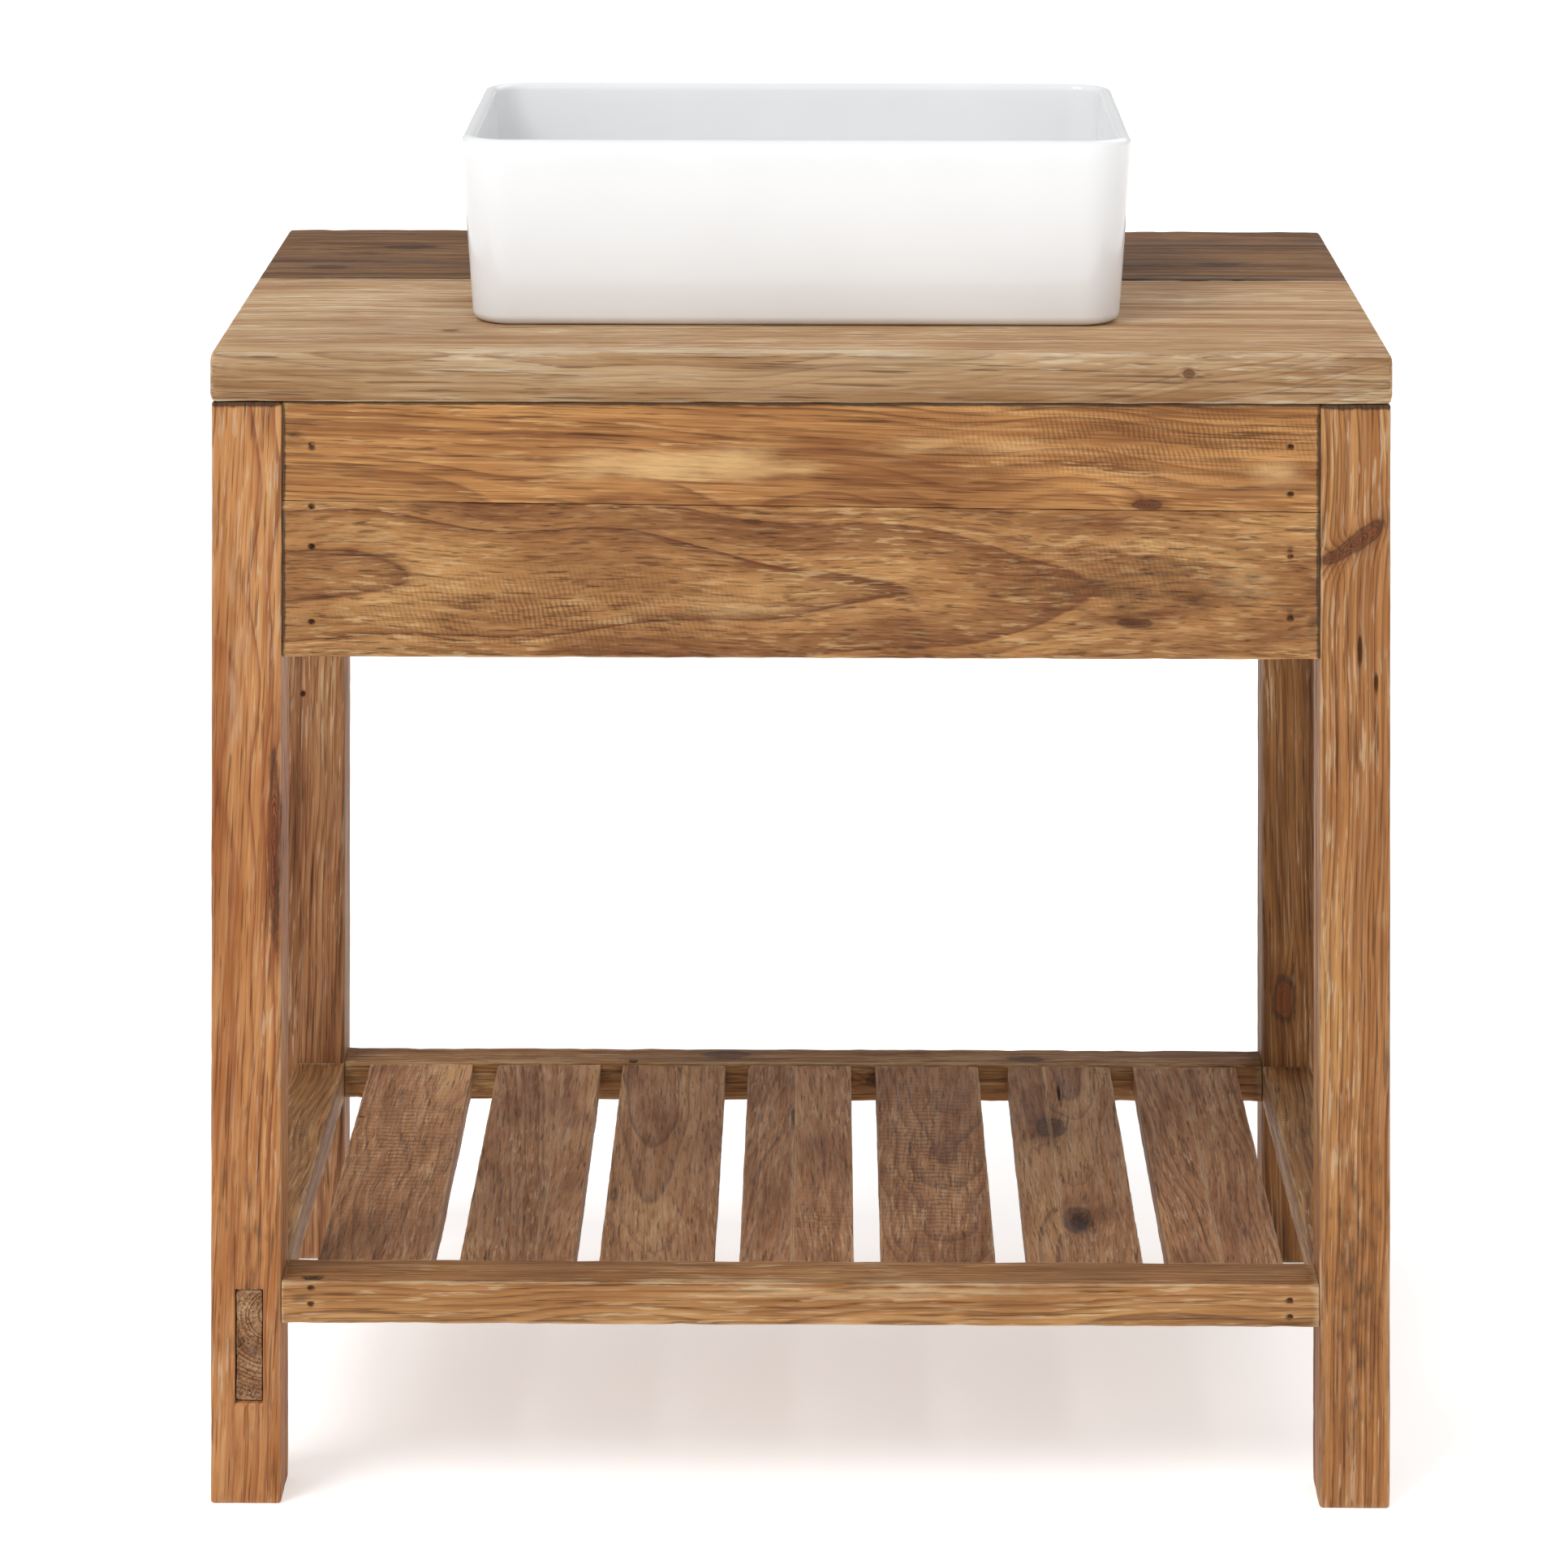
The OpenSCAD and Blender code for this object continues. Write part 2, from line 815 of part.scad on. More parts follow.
module washer(z, t, outer, inner) {
  at_waste() translate([0, 0, z]) difference() {
    cylinder(h = t, r = outer);
    translate([0, 0, -1]) cylinder(h = t + 2, r = inner);
  }
}

module plug_ring() {
  color("black") washer(cap_z - ring_t, ring_t, ring_r, ring_r - 4);
}

module flange_seal() {
  color("black") washer(seat_t, flange_seal_t, flange_r - 1, waste_hole_r);
}

module under_seal() {
  color("black") washer(-top_t - seal_t, seal_t, washer_r, tail_r);
}

module under_washer() {
  color("white") washer(-top_t - seal_t - washer_t, washer_t, washer_r, tail_r);
}

// Six-sided nut with its corners turned off
module waste_nut() {
  corner_r = nut_across / 2 / cos(30);
  color("gold") at_waste() translate([0, 0, nut_z]) difference() {
    intersection() {
      cylinder(h = nut_t, r = corner_r, $fn = 6);
      cylinder(h = nut_t, r = nut_across / 2 + 2.5);
    }
    translate([0, 0, -1]) cylinder(h = nut_t + 2, r = tail_r);
  }
}

// ---------- nodes ----------

top_board_front();
top_board_back();
leg_front_left();
leg_front_right();
leg_back_left();
leg_back_right();
mortise_plug();
apron_front_upper();
apron_front_lower();
apron_left_upper();
apron_left_lower();
apron_right_upper();
apron_right_lower();
back_rail_upper();
cleat_front();
cleat_back();
cleat_left();
cleat_right();
shelf_rail_front();
shelf_rail_back();
shelf_rail_left();
shelf_rail_right();
slat_1();
slat_2_left();
slat_2_right();
slat_3();
slat_4_left();
slat_4_right();
slat_5();
slat_6_left();
slat_6_right();
slat_7_left();
slat_7_right();
apron_brads();
shelf_brads();
apron_dowels();
shelf_dowels();
top_screws();
cleat_screws();
rail_nail();
basin();
waste_body();
waste_cartridge();
waste_plug();
plug_ring();
flange_seal();
under_seal();
under_washer();
waste_nut();
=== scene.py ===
# %% [markdown]
# # A washstand of old pine with a white basin
# The stand is an open frame of reclaimed boards: two planks for a top, four square legs,
# board aprons and a low slatted shelf. A white glazed basin stands on it. The size and the
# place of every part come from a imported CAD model. Here each board gets its worn edges,
# dents and growth rings, and each surface gets its finish.

# %% Load the frame that every piece is built on
import json
import math

import bpy
import numpy as np
from mathutils import Matrix, Vector


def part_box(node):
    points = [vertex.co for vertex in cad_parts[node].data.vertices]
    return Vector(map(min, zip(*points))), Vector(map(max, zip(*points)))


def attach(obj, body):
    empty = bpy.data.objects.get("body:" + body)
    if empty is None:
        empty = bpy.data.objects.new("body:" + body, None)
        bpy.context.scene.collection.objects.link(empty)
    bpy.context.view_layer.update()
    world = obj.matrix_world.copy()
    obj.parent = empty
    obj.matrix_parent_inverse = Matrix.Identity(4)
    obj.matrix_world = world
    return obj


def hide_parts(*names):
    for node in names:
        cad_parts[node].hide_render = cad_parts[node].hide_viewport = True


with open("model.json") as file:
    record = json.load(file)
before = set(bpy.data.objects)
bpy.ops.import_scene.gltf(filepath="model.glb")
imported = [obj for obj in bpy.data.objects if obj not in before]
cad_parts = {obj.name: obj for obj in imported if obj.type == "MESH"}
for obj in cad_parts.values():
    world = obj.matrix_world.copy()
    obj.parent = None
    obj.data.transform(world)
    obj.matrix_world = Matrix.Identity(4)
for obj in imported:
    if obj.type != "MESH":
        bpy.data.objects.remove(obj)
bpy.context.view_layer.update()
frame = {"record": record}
slot_of = {part["node"]: part["material_slot"] for part in frame["record"]["subparts"]}
MM = 0.001

# %% [markdown]
# ## How a board is drawn
# A real board is a box whose long edges have been worn round. A cube with a bevel would
# give every edge the same radius. Here the outline of the board's end is carried along its
# length instead, so the radius can grow and shrink like wear, and the faces can sink by a
# few tenths of a millimetre. Each point also keeps its own board's coordinates: how far
# along the board it is, and how far from the middle of the tree. The wood's rings need them.

# %% Helpers for grids and soft noise
NEAR_LINES = 11
LEAST_GAP = 0.0001
WAVE_SPREAD = (0.5, 1.6)


def lines(low, high, step, spots=()):
    """Even grid lines about step apart, with finer ones added round each (place, reach)."""
    out = [np.linspace(low, high, max(2, int(round((high - low) / step)) + 1))]
    for place, reach in spots:
        near = place + reach * np.linspace(-1, 1, NEAR_LINES)
        out.append(near[(near > low) & (near < high)])
    out = np.unique(np.concatenate(out).round(6))
    keep = np.concatenate([[True], np.diff(out) > LEAST_GAP])
    return out[keep]


def ripple(points, seed, lengths, count=14):
    """Soft noise from -1 to 1: a sum of sines whose wavelengths spread round the given
    length along each axis, with random directions and phases."""
    rng = np.random.default_rng(seed)
    total = np.zeros(points.shape[:-1])
    for wave in rng.uniform(*WAVE_SPREAD, (count, 3)):
        turn = rng.choice([-1, 1], 3) * wave * 2 * np.pi / np.array(lengths)
        total += np.sin(points @ turn + rng.uniform(0, 2 * np.pi))
    return total / math.sqrt(count * 2)


def bump_at(x, y, place, size, power=1.0):
    """One at the place, falling smoothly to nothing about one size away."""
    q = ((x - place[0]) / size[0]) ** 2 + ((y - place[1]) / size[1]) ** 2
    return np.exp(-(q ** power))


print("helpers ready")

# %% [markdown]
# Seen from its end, a board is a rectangle whose four corners each have their own roundness.
# The outline stores the square corner and the way back from it apart, so that one number per
# place along the board, the radius, can round each corner more or less.

# %% The outline of a board's end
ARC = 4
SIDES = {"d0": (0, -1), "w1": (1, 0), "d1": (0, 1), "w0": (-1, 0)}


def outline(w_lines, d_lines, half_w, half_d):
    """Points round a rectangle, side by side, with ARC steps round each corner.
    Returns plain places, corner offsets (multiplied by the radius later), outward
    directions, the number of the nearest corner and the side each point is on."""
    base, off, out, corner, side = [], [], [], [], []
    turn = np.radians(np.linspace(-90, 0, ARC + 1))
    for q, name in enumerate(("d0", "w1", "d1", "w0")):
        nw, nd = SIDES[name]
        run = w_lines if nd else d_lines
        run = run if name in ("d0", "w1") else run[::-1]
        for t in run:
            base.append((t, half_d * nd) if nd else (half_w * nw, t))
            off.append((0, 0))
            out.append((nw, nd))
            corner.append(q)
            side.append(name)
        sw, sd = ((1, -1), (1, 1), (-1, 1), (-1, -1))[q]
        for a in turn + q * math.pi / 2:
            base.append((half_w * sw, half_d * sd))
            off.append((math.cos(a) - sw, math.sin(a) - sd))
            out.append((math.cos(a), math.sin(a)))
            corner.append((q + 1) % 4)
            side.append("edge")
    return np.array(base), np.array(off), np.array(out), np.array(corner), np.array(side)


print("corner steps:", ARC)

# %% [markdown]
# Every drawn piece is one closed skin of four-sided faces. Beside its place, a point can carry
# numbers that a finish reads, such as how far it is from a knot. A piece then takes the place
# of its CAD part, wears that part's finish and moves with that part's body.

# %% Putting points, faces and per-point values into a mesh
SHARP_ANGLE = math.radians(38)


def make_mesh(name, points, faces, values=None):
    """One closed mesh. values holds per-point numbers or vectors that materials read."""
    mesh = bpy.data.meshes.new(name)
    mesh.from_pydata(points.reshape(-1, 3).tolist(), [], faces)
    for key, data in (values or {}).items():
        data = np.asarray(data, np.float32)
        vector = data.ndim == 2
        layer = mesh.attributes.new(key, "FLOAT_VECTOR" if vector else "FLOAT", "POINT")
        layer.data.foreach_set("vector" if vector else "value", data.ravel())
    mesh.polygons.foreach_set("use_smooth", np.ones(len(mesh.polygons), bool))
    mesh.set_sharp_from_angle(angle=SHARP_ANGLE)
    mesh.validate()
    piece = bpy.data.objects.new(name, mesh)
    bpy.context.scene.collection.objects.link(piece)
    return piece


def fit(piece, node, body):
    """The piece stands for a CAD node, wears that node's finish and moves with its body."""
    piece.data.materials.append(bpy.data.materials[slot_of[node]])
    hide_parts(node)
    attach(piece, body)
    return piece


def grid_faces(rows, columns, close_rows=False, flip=False):
    """Quads between neighbouring rows of a grid whose columns join into a ring."""
    i = np.arange(rows if close_rows else rows - 1)[:, None]
    j = np.arange(columns)[None, :]
    up, right = (i + 1) % rows, (j + 1) % columns
    quads = np.stack([i * columns + j, i * columns + right, up * columns + right,
                      up * columns + j], -1).reshape(-1, 4)
    return (quads[:, ::-1] if flip else quads).tolist()


print("mesh helpers ready")

# %% [markdown]
# Nails, worms, branches and old joints leave marks at known places, and thin dark marks
# paint the shade in the gaps where parts meet. A mark is a place on one side and a size.
# Small marks get finer grid lines of their own, since a dent narrower than the grid would
# vanish.

# %% Marks on a board: nail pits, pockets, knots, stains and painted shade
SMALL_MARK = 16
MARK_REACH = 1.7
POCKET_WALL = 0.6
POCKET_POWER = 60


def spot(side, along, across, long, wide, **more):
    """A mark centred on one side of a board, in millimetres from the board's middle.
    Sides are d0 and d1, low and high in depth, and w0 and w1, low and high in width."""
    return {"side": side, "at": (along, across), "size": (long, wide), **more}


def mark_lines(mark, k):
    """Places that need finer grid lines: all over a small mark, or at a pocket's walls."""
    place, size = mark["at"][k], mark["size"][k]
    if mark.get("square"):
        return [(place - size, POCKET_WALL), (place + size, POCKET_WALL)]
    return [(place, size * MARK_REACH)] if size < SMALL_MARK else []


def pit_depth(pit, l, across):
    """Share of the pit's full depth: a smooth bowl, or a pocket with upright walls."""
    if not pit.get("square"):
        return bump_at(l, across, pit["at"], pit["size"], 2.0)
    x = abs(l - pit["at"][0]) / pit["size"][0]
    y = abs(across - pit["at"][1]) / pit["size"][1]
    return np.exp(-np.maximum(x, y) ** POCKET_POWER)


print("marks ready")

# %% [markdown]
# The outline is carried along the length, pushed in by worn edges, shallow ripples and dents,
# and drawn together over the last millimetres, as a sawn end wears. An edge that is glued to
# a neighbour keeps its full size, so that no light shows through the joint.

# %% One board
END_PLACES = np.array([1, 0.7, 0.3])
END_SHRINK = np.array([1, 0.3, 0.05])
CAP_SHARE = 0.9
GLUED_SHARE = 0.1
FACES_GLUE = 0.7
WEAR_WAVE, SINK_WAVE, DENT_WAVE = (90, 90, 90), (130, 45, 45), (24, 12, 12)
WEAR_SEED, SINK_SEED, DENT_SEED = 11, 7, 5


def board(node, lie, ease=1.2, wear=1.0, end_ease=0.6, sag=0.15, step=9, seed=1,
          pith=(0, -60), slope=(0, 0), bow=0, bow_at=0, sway=(3, 3), tone=0.5,
          pits=(), knots=(), pale=(), dark=(), sawn=(), tilt=None, trim=0, glued=0, w0_tone=0):
    """A worn board in place of a CAD node.
    lie names the world axes of its length, width and depth. Sizes are in millimetres.
    Place = outline x local section, sunk by ripples and pits, carried along the length.
    The rings' middle lies at pith + slope x length + bow x length squared + sway.
    tilt slants one edge, trim shortens both ends, glued (1 or -1) is the side with a
    neighbour, and w0_tone is added to the tone at the low edge in width."""
    low, high = (np.array(v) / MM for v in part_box(node))
    axes = ["xyz".index(c) for c in lie]
    low, high = low[axes], high[axes]
    low[0], high[0] = low[0] + trim, high[0] - trim
    mid = (low + high) / 2
    ease = np.broadcast_to(np.asarray(ease, float), 4)
    half_l, half_w, half_d = (high - low) / 2
    most = min(ease.max() * (1 + 0.5 * wear) + 0.4, half_w * 0.6, half_d * 0.6)
    marks = [*pits, *knots, *dark, *pale]
    l_spots = [place for m in marks for place in mark_lines(m, 0)]
    w_spots = [place for m in marks if m["side"][0] == "d" for place in mark_lines(m, 1)]
    d_spots = [place for m in marks if m["side"][0] == "w" for place in mark_lines(m, 1)]
    l_run = lines(end_ease - half_l, half_l - end_ease, step, l_spots)
    ends = end_ease * END_PLACES
    l_run = np.concatenate([end_ease - half_l - ends, l_run[1:-1],
                            half_l - end_ease + ends[::-1]])
    shrink = np.zeros(len(l_run))
    shrink[:3], shrink[-3:] = end_ease * END_SHRINK, end_ease * END_SHRINK[::-1]
    w_run = lines(most - half_w, half_w - most, step, w_spots)
    d_run = lines(most - half_d, half_d - most, step, d_spots)
    base, off, out, corner, side = outline(w_run, d_run, half_w, half_d)
    along = np.stack([l_run] * 3, -1)
    uneven = [np.clip(ripple(along, seed * WEAR_SEED + q, WEAR_WAVE), -0.4, 1) for q in range(4)]
    radius = [ease[q] * (1 + wear * uneven[q]) for q in range(4)]
    radius = np.clip(np.array(radius).T[:, corner], 0.5, most)
    l = np.repeat(l_run[:, None], len(base), 1)
    wd = base[None] + radius[..., None] * off[None]
    w, d = wd[..., 0], wd[..., 1]
    here = np.stack([l, w, d], -1)
    sink = sag * (0.6 + 0.4 * ripple(here, seed * SINK_SEED, SINK_WAVE))
    sink += sag * 0.5 * np.clip(ripple(here, seed * DENT_SEED, DENT_WAVE), 0, 1)
    for p in pits:
        across = w if p["side"][0] == "d" else d
        on = side == p["side"]
        sink += on * p["deep"] * pit_depth(p, l, across)
    sink = np.where(out[:, 0] * glued > FACES_GLUE, 0, sink)
    w, d = w - out[:, 0] * sink, d - out[:, 1] * sink
    w = w * (1 - shrink[:, None] / half_w * np.where(w * glued > 0, GLUED_SHARE, 1))
    d = d * (1 - shrink[:, None] / half_d)
    if tilt:
        w = tilt(l, w, half_w)
    body = np.stack([l, w, d], -1)
    caps = body[[0, -1]]
    middle = caps[:, :, 1:].mean(1, keepdims=True)
    caps[:, :, 1:] = middle + (caps[:, :, 1:] - middle) * CAP_SHARE
    local = np.concatenate([caps[:1], body, caps[1:]])
    n = len(base)
    count = len(local)
    flip = np.linalg.det(np.eye(3)[[axes[1], axes[2], axes[0]]]) < 0
    faces = grid_faces(count, n, flip=flip)
    first, last = list(range(n)), list(range((count - 1) * n, count * n))
    faces += [first[::-1], last] if not flip else [first, last[::-1]]
    world = np.empty_like(local)
    world[..., axes] = (local + mid) * MM
    piece = make_mesh(node + "_worn", world, faces,
                      board_values(local, (half_l, half_w, half_d), seed, pith, slope, bow,
                                   bow_at, sway, tone, pits, knots, pale, dark, sawn, w0_tone))
    return fit(piece, node, "stand")


print("board skin ready")

# %% [markdown]
# The saw took each board from somewhere in a tree. Its points remember how far they are from
# the middle of that tree, which way the fibres run past them, and how near they are to an
# edge, a knot, a stain, a painted shade line or a patch of saw marks. Finishes turn these into colour.

# %% What a board's points remember
SEED_ALONG, SEED_ACROSS = 731.0, 37
NO_KNOT = 4.0
KNOT_SWELL = 1.9
EDGE_REACH = 2.2
SIDE_DEPTH = 6
PIT_STAIN = 1.5
TONE_EDGE = 4
WIDTH_DRIFT, DEPTH_DRIFT = (260, 1, 1), (190, 1, 1)
WIDTH_SEED, DEPTH_SEED = 100, 200


def board_values(p, half, seed, pith, slope, bow, bow_at, sway, tone, pits, knots, pale,
                 dark, sawn, w0_tone):
    """Per-point values: place in the tree and place along the fibres, both in metres, then
    nearness to an edge, pale wear, dark stains together with painted shade at the joints,
    distance from the nearest knot, strength of saw marks, swelling round knots, and the
    board's tone.
    Place in the tree = (length, width, depth) - middle of the rings at that length."""
    p = p.reshape(-1, 3)
    l, w, d = p.T
    along = np.stack([l, l * 0, l * 0], -1)
    far = l - bow_at
    drift_w = sway[0] * ripple(along, seed + WIDTH_SEED, WIDTH_DRIFT)
    shift_w = pith[0] + slope[0] * l + drift_w
    shift_d = pith[1] + slope[1] * l + bow * far ** 2
    shift_d = shift_d + sway[1] * ripple(along, seed + DEPTH_SEED, DEPTH_DRIFT)
    knot, swell = np.full(len(p), NO_KNOT), np.zeros(len(p))
    for k in knots:
        across, deep = (w, d) if k["side"][0] == "d" else (d, w)
        sign = 1 if k["side"][1] == "1" else -1
        lean = k.get("lean", 0) * (across - k["at"][1])
        size = k["size"]
        q = np.hypot((l - lean - k["at"][0]) / size[0], (across - k["at"][1]) / size[1])
        reach = half[2] if k["side"][0] == "d" else half[1]
        inside = np.clip((sign * deep + reach) / (2 * reach), 0, 1)
        q = q + k.get("fade", 2.5) * (1 - inside)
        knot = np.minimum(knot, q)
        swell += k.get("push", 5) * np.exp(-(q / KNOT_SWELL) ** 2)
    edge = np.stack([half[1] - abs(w), half[2] - abs(d), half[0] - abs(l)], -1)
    edge = np.exp(-np.sort(edge, -1)[:, 1] / EDGE_REACH)
    masks = []
    for spots in (pale, dark, sawn):
        m = np.zeros(len(p))
        for s in spots:
            across = w if s["side"][0] == "d" else d
            reach = half[2] if s["side"][0] == "d" else half[1]
            sign = 1 if s["side"][1] == "1" else -1
            deep = sign * (d if s["side"][0] == "d" else w)
            on = np.clip(1 - (reach - deep) / SIDE_DEPTH, 0, 1)
            m = np.maximum(m, on * s.get("much", 1) * bump_at(l, across, s["at"], s["size"]))
        masks.append(m)
    for k in pits:
        across = w if k["side"][0] == "d" else d
        near = bump_at(l, across, k["at"], (k["size"][0] * PIT_STAIN, k["size"][1] * PIT_STAIN))
        masks[1] = np.maximum(masks[1], near * k.get("much", 1))
    far_off = seed * SEED_ALONG
    grain = np.stack([l + far_off, w - shift_w, d - shift_d], -1) * MM
    bend = slope[0] * l + 0.4 * drift_w + 0.5 * np.sign(w) * swell
    fibre = np.stack([l + far_off, w - bend + seed * SEED_ACROSS, d - slope[1] * l], -1) * MM
    return {"grain": grain, "fibre": fibre, "wear": np.stack([edge, masks[0], masks[1]], -1),
            "mark": np.stack([knot, masks[2], swell * MM], -1),
            "tone": tone + w0_tone * np.clip(1 - (w + half[1]) / TONE_EDGE, 0, 1)}


print("board values: grain, fibre, wear, mark and tone")

# %% [markdown]
# ## Shader wiring
# A procedural finish is a small circuit: numbers and colours run along wires from node to
# node. A few short helpers keep each circuit as readable as a line of arithmetic.

# %% A helper that adds nodes and joins them
def srgb(red, green, blue):
    """A colour as a screen shows it (0 to 255), turned into the linear values of a shader."""
    c = np.array([red, green, blue]) / 255
    c = np.where(c > 0.04045, ((c + 0.055) / 1.055) ** 2.4, c / 12.92)
    return (*c.tolist(), 1.0)


class Wiring:
    """Adds nodes to one tree, in columns, and connects whatever it is handed."""

    def __init__(self, tree):
        """Remember the tree that gets the nodes."""
        self.tree = tree

    def node(self, kind, **settings):
        """A new node of that kind, in the next free place."""
        n = self.tree.nodes.new(kind)
        place = len(self.tree.nodes)
        n.location = (220 * (place // 5), -240 * (place % 5))
        for key, value in settings.items():
            setattr(n, key, value)
        return n

    def feed(self, socket, value):
        """Join a wire to the socket, or set the socket to a constant."""
        if isinstance(value, bpy.types.NodeSocket):
            self.tree.links.new(value, socket)
        elif value is not None:
            socket.default_value = value

    def math(self, operation, a, b=None, c=None):
        """Arithmetic on one to three values."""
        n = self.node("ShaderNodeMath", operation=operation)
        for socket, value in zip(n.inputs, (a, b, c)):
            self.feed(socket, value)
        return n.outputs[0]

    def stretch(self, vector, scale, shift=(0, 0, 0)):
        """A vector times a scale, plus a shift."""
        n = self.node("ShaderNodeVectorMath", operation="MULTIPLY_ADD")
        self.feed(n.inputs[0], vector)
        n.inputs[1].default_value = scale
        n.inputs[2].default_value = shift
        return n.outputs[0]

    def noise(self, vector, detail=2.0, rough=0.5):
        """Soft noise at a place in space, from 0 to 1."""
        n = self.node("ShaderNodeTexNoise")
        self.feed(n.inputs["Vector"], vector)
        for key, value in (("Scale", 1.0), ("Detail", detail), ("Roughness", rough)):
            n.inputs[key].default_value = value
        return n.outputs["Fac"]

    def noise_line(self, value):
        """Soft noise along one value alone."""
        n = self.node("ShaderNodeTexNoise", noise_dimensions="1D")
        self.feed(n.inputs["W"], value)
        n.inputs["Scale"].default_value = 1.0
        n.inputs["Detail"].default_value = 1.0
        return n.outputs["Fac"]

    def ease(self, value, low, high, start=0.0, end=1.0):
        """From start to end along a smooth S while the value goes from low to high."""
        n = self.node("ShaderNodeMapRange", interpolation_type="SMOOTHSTEP")
        for socket, v in zip(n.inputs, (value, low, high, start, end)):
            self.feed(socket, v)
        return n.outputs[0]

    def ramp(self, value, stops):
        """A grey for each value, from stops of (value, grey)."""
        n = self.node("ShaderNodeValToRGB")
        marks = n.color_ramp.elements
        while len(marks) < len(stops):
            marks.new(0.5)
        for mark, (place, grey) in zip(marks, stops):
            mark.position = place
            mark.color = (grey, grey, grey, 1)
        self.feed(n.inputs[0], value)
        return n.outputs[0]

    def blend(self, amount, a, b, way="MIX"):
        """Colour b laid over colour a by an amount from 0 to 1."""
        n = self.node("ShaderNodeMix", data_type="RGBA", blend_type=way)
        for socket, value in zip((n.inputs[0], n.inputs[6], n.inputs[7]), (amount, a, b)):
            self.feed(socket, value)
        return n.outputs[2]

    def split(self, vector):
        """The three parts of a vector."""
        n = self.node("ShaderNodeSeparateXYZ")
        self.feed(n.inputs[0], vector)
        return n.outputs

    def use(self, group, **values):
        """A group of nodes put to use with these inputs."""
        n = self.node("ShaderNodeGroup")
        n.node_tree = group
        for key, value in values.items():
            self.feed(n.inputs[key], value)
        return n.outputs


def node_group(name, inputs, outputs):
    """An empty shader group with named sockets, and what is needed to fill it."""
    tree = bpy.data.node_groups.new(name, "ShaderNodeTree")
    for label, value in inputs.items():
        kind = "NodeSocketVector" if value is None else "NodeSocketFloat"
        socket = tree.interface.new_socket(label, in_out="INPUT", socket_type=kind)
        if value is not None:
            socket.default_value = value
    for label in outputs:
        tree.interface.new_socket(label, in_out="OUTPUT", socket_type="NodeSocketFloat")
    w = Wiring(tree)
    return w, w.node("NodeGroupInput").outputs, w.node("NodeGroupOutput").inputs


print("wiring ready")

# %% [markdown]
# ## Growth rings
# A tree adds one ring each year: pale quick wood in spring, then a thin dark line of late
# wood. A board shows the rings wherever the saw crossed them, so a flat picture of stripes
# never fits round its corner. Here the rings are computed in the solid: the distance from
# the tree's middle is cut into years, and the same years meet at every edge of the board.

# %% Group: growth rings
w, put, out = node_group("growth rings", {"Grain": None, "Swell": 0.0, "Spacing": 0.005,
                                          "Wobble": 0.004}, ("Late", "Band"))
along, across, deep = w.split(put["Grain"])
radius = w.math("SQRT", w.math("ADD", w.math("MULTIPLY", across, across),
                               w.math("MULTIPLY", deep, deep)))
wander = w.math("SUBTRACT", w.noise(w.stretch(put["Grain"], (1.6, 13, 13)), 3), 0.5)
radius = w.math("ADD", w.math("MULTIPLY_ADD", wander, put["Wobble"], put["Swell"]), radius)
drift = w.noise_line(w.math("MULTIPLY", radius, 85))
years = w.math("MULTIPLY_ADD", drift, 2.2, w.math("DIVIDE", radius, put["Spacing"]))
late = w.ramp(w.math("FRACT", years), ((0, 0.1), (0.4, 0), (0.72, 0.5), (0.92, 1), (1, 0.1)))
dry = w.ease(w.noise_line(w.math("MULTIPLY", w.math("FLOOR", years), 3.17)), 0.3, 0.62, 0.3, 1)
w.feed(out["Late"], w.math("MULTIPLY", late, dry))
w.feed(out["Band"], w.noise_line(w.math("MULTIPLY", radius, 42)))
rings_group = w.tree
print("group:", rings_group.name)

# %% [markdown]
# ## Fibres, saw marks, knots and wear
# Old pine that has been brushed clean keeps long streaks, short dark pores and flecks of
# dried whitewash in the grain. A frame saw leaves ridges across a board. A knot is a branch
# seen end on, with a dark bark ring. Edges are rubbed pale, and nails stain the wood round
# them. Each effect is one group that puts out a mask, so that every board mixes its own.

# %% Group: fibres
w, put, out = node_group("fibres", {"Fibre": None}, ("Streak", "Fine", "Pore", "Fleck", "Cloud"))
fibre = put["Fibre"]
w.feed(out["Streak"], w.noise(w.stretch(fibre, (2.4, 150, 150)), 3, 0.6))
w.feed(out["Fine"], w.noise(w.stretch(fibre, (5, 620, 620), (2, 8, 5)), 2, 0.6))
w.feed(out["Pore"], w.ease(w.noise(w.stretch(fibre, (14, 560, 560), (9, 2, 6)), 2, 0.5), 0.6, 0.68))
cloud = w.noise(w.stretch(fibre, (6, 20, 20), (5, 1, 3)), 4, 0.6)
dash = w.ease(w.noise(w.stretch(fibre, (28, 420, 420), (7, 3, 1)), 2, 0.6), 0.56, 0.64)
w.feed(out["Fleck"], w.math("MULTIPLY", dash, w.ease(cloud, 0.42, 0.6)))
w.feed(out["Cloud"], cloud)
fibres_group = w.tree
print("group:", fibres_group.name)

# %% [markdown]
# A frame saw moves up and down, so it leaves straight ridges across the board, a few
# millimetres apart, which later planing took away in patches. A sine along the board gives
# the ridges, and noise bends and breaks them.

# %% Group: saw marks
w, put, out = node_group("saw marks", {"Grain": None, "Strength": 0.0, "Pitch": 0.0032,
                                       "Slant": 0.25}, ("Mark",))
along, across, deep = w.split(put["Grain"])
place = w.math("MULTIPLY_ADD", w.math("ADD", across, deep), put["Slant"], along)
wander = w.noise(w.stretch(put["Grain"], (45, 70, 70)), 2)
turn = w.math("MULTIPLY_ADD", wander, 9.0, w.math("MULTIPLY", w.math("DIVIDE", place, put["Pitch"]),
                                                  2 * math.pi))
ridge = w.ease(w.math("SINE", turn), -0.1, 1.0)
patch = w.ease(w.noise(w.stretch(put["Grain"], (26, 120, 120), (2, 9, 4)), 3), 0.34, 0.52)
w.feed(out["Mark"], w.math("MULTIPLY", w.math("MULTIPLY", ridge, patch), put["Strength"]))
saw_group = w.tree
print("group:", saw_group.name)

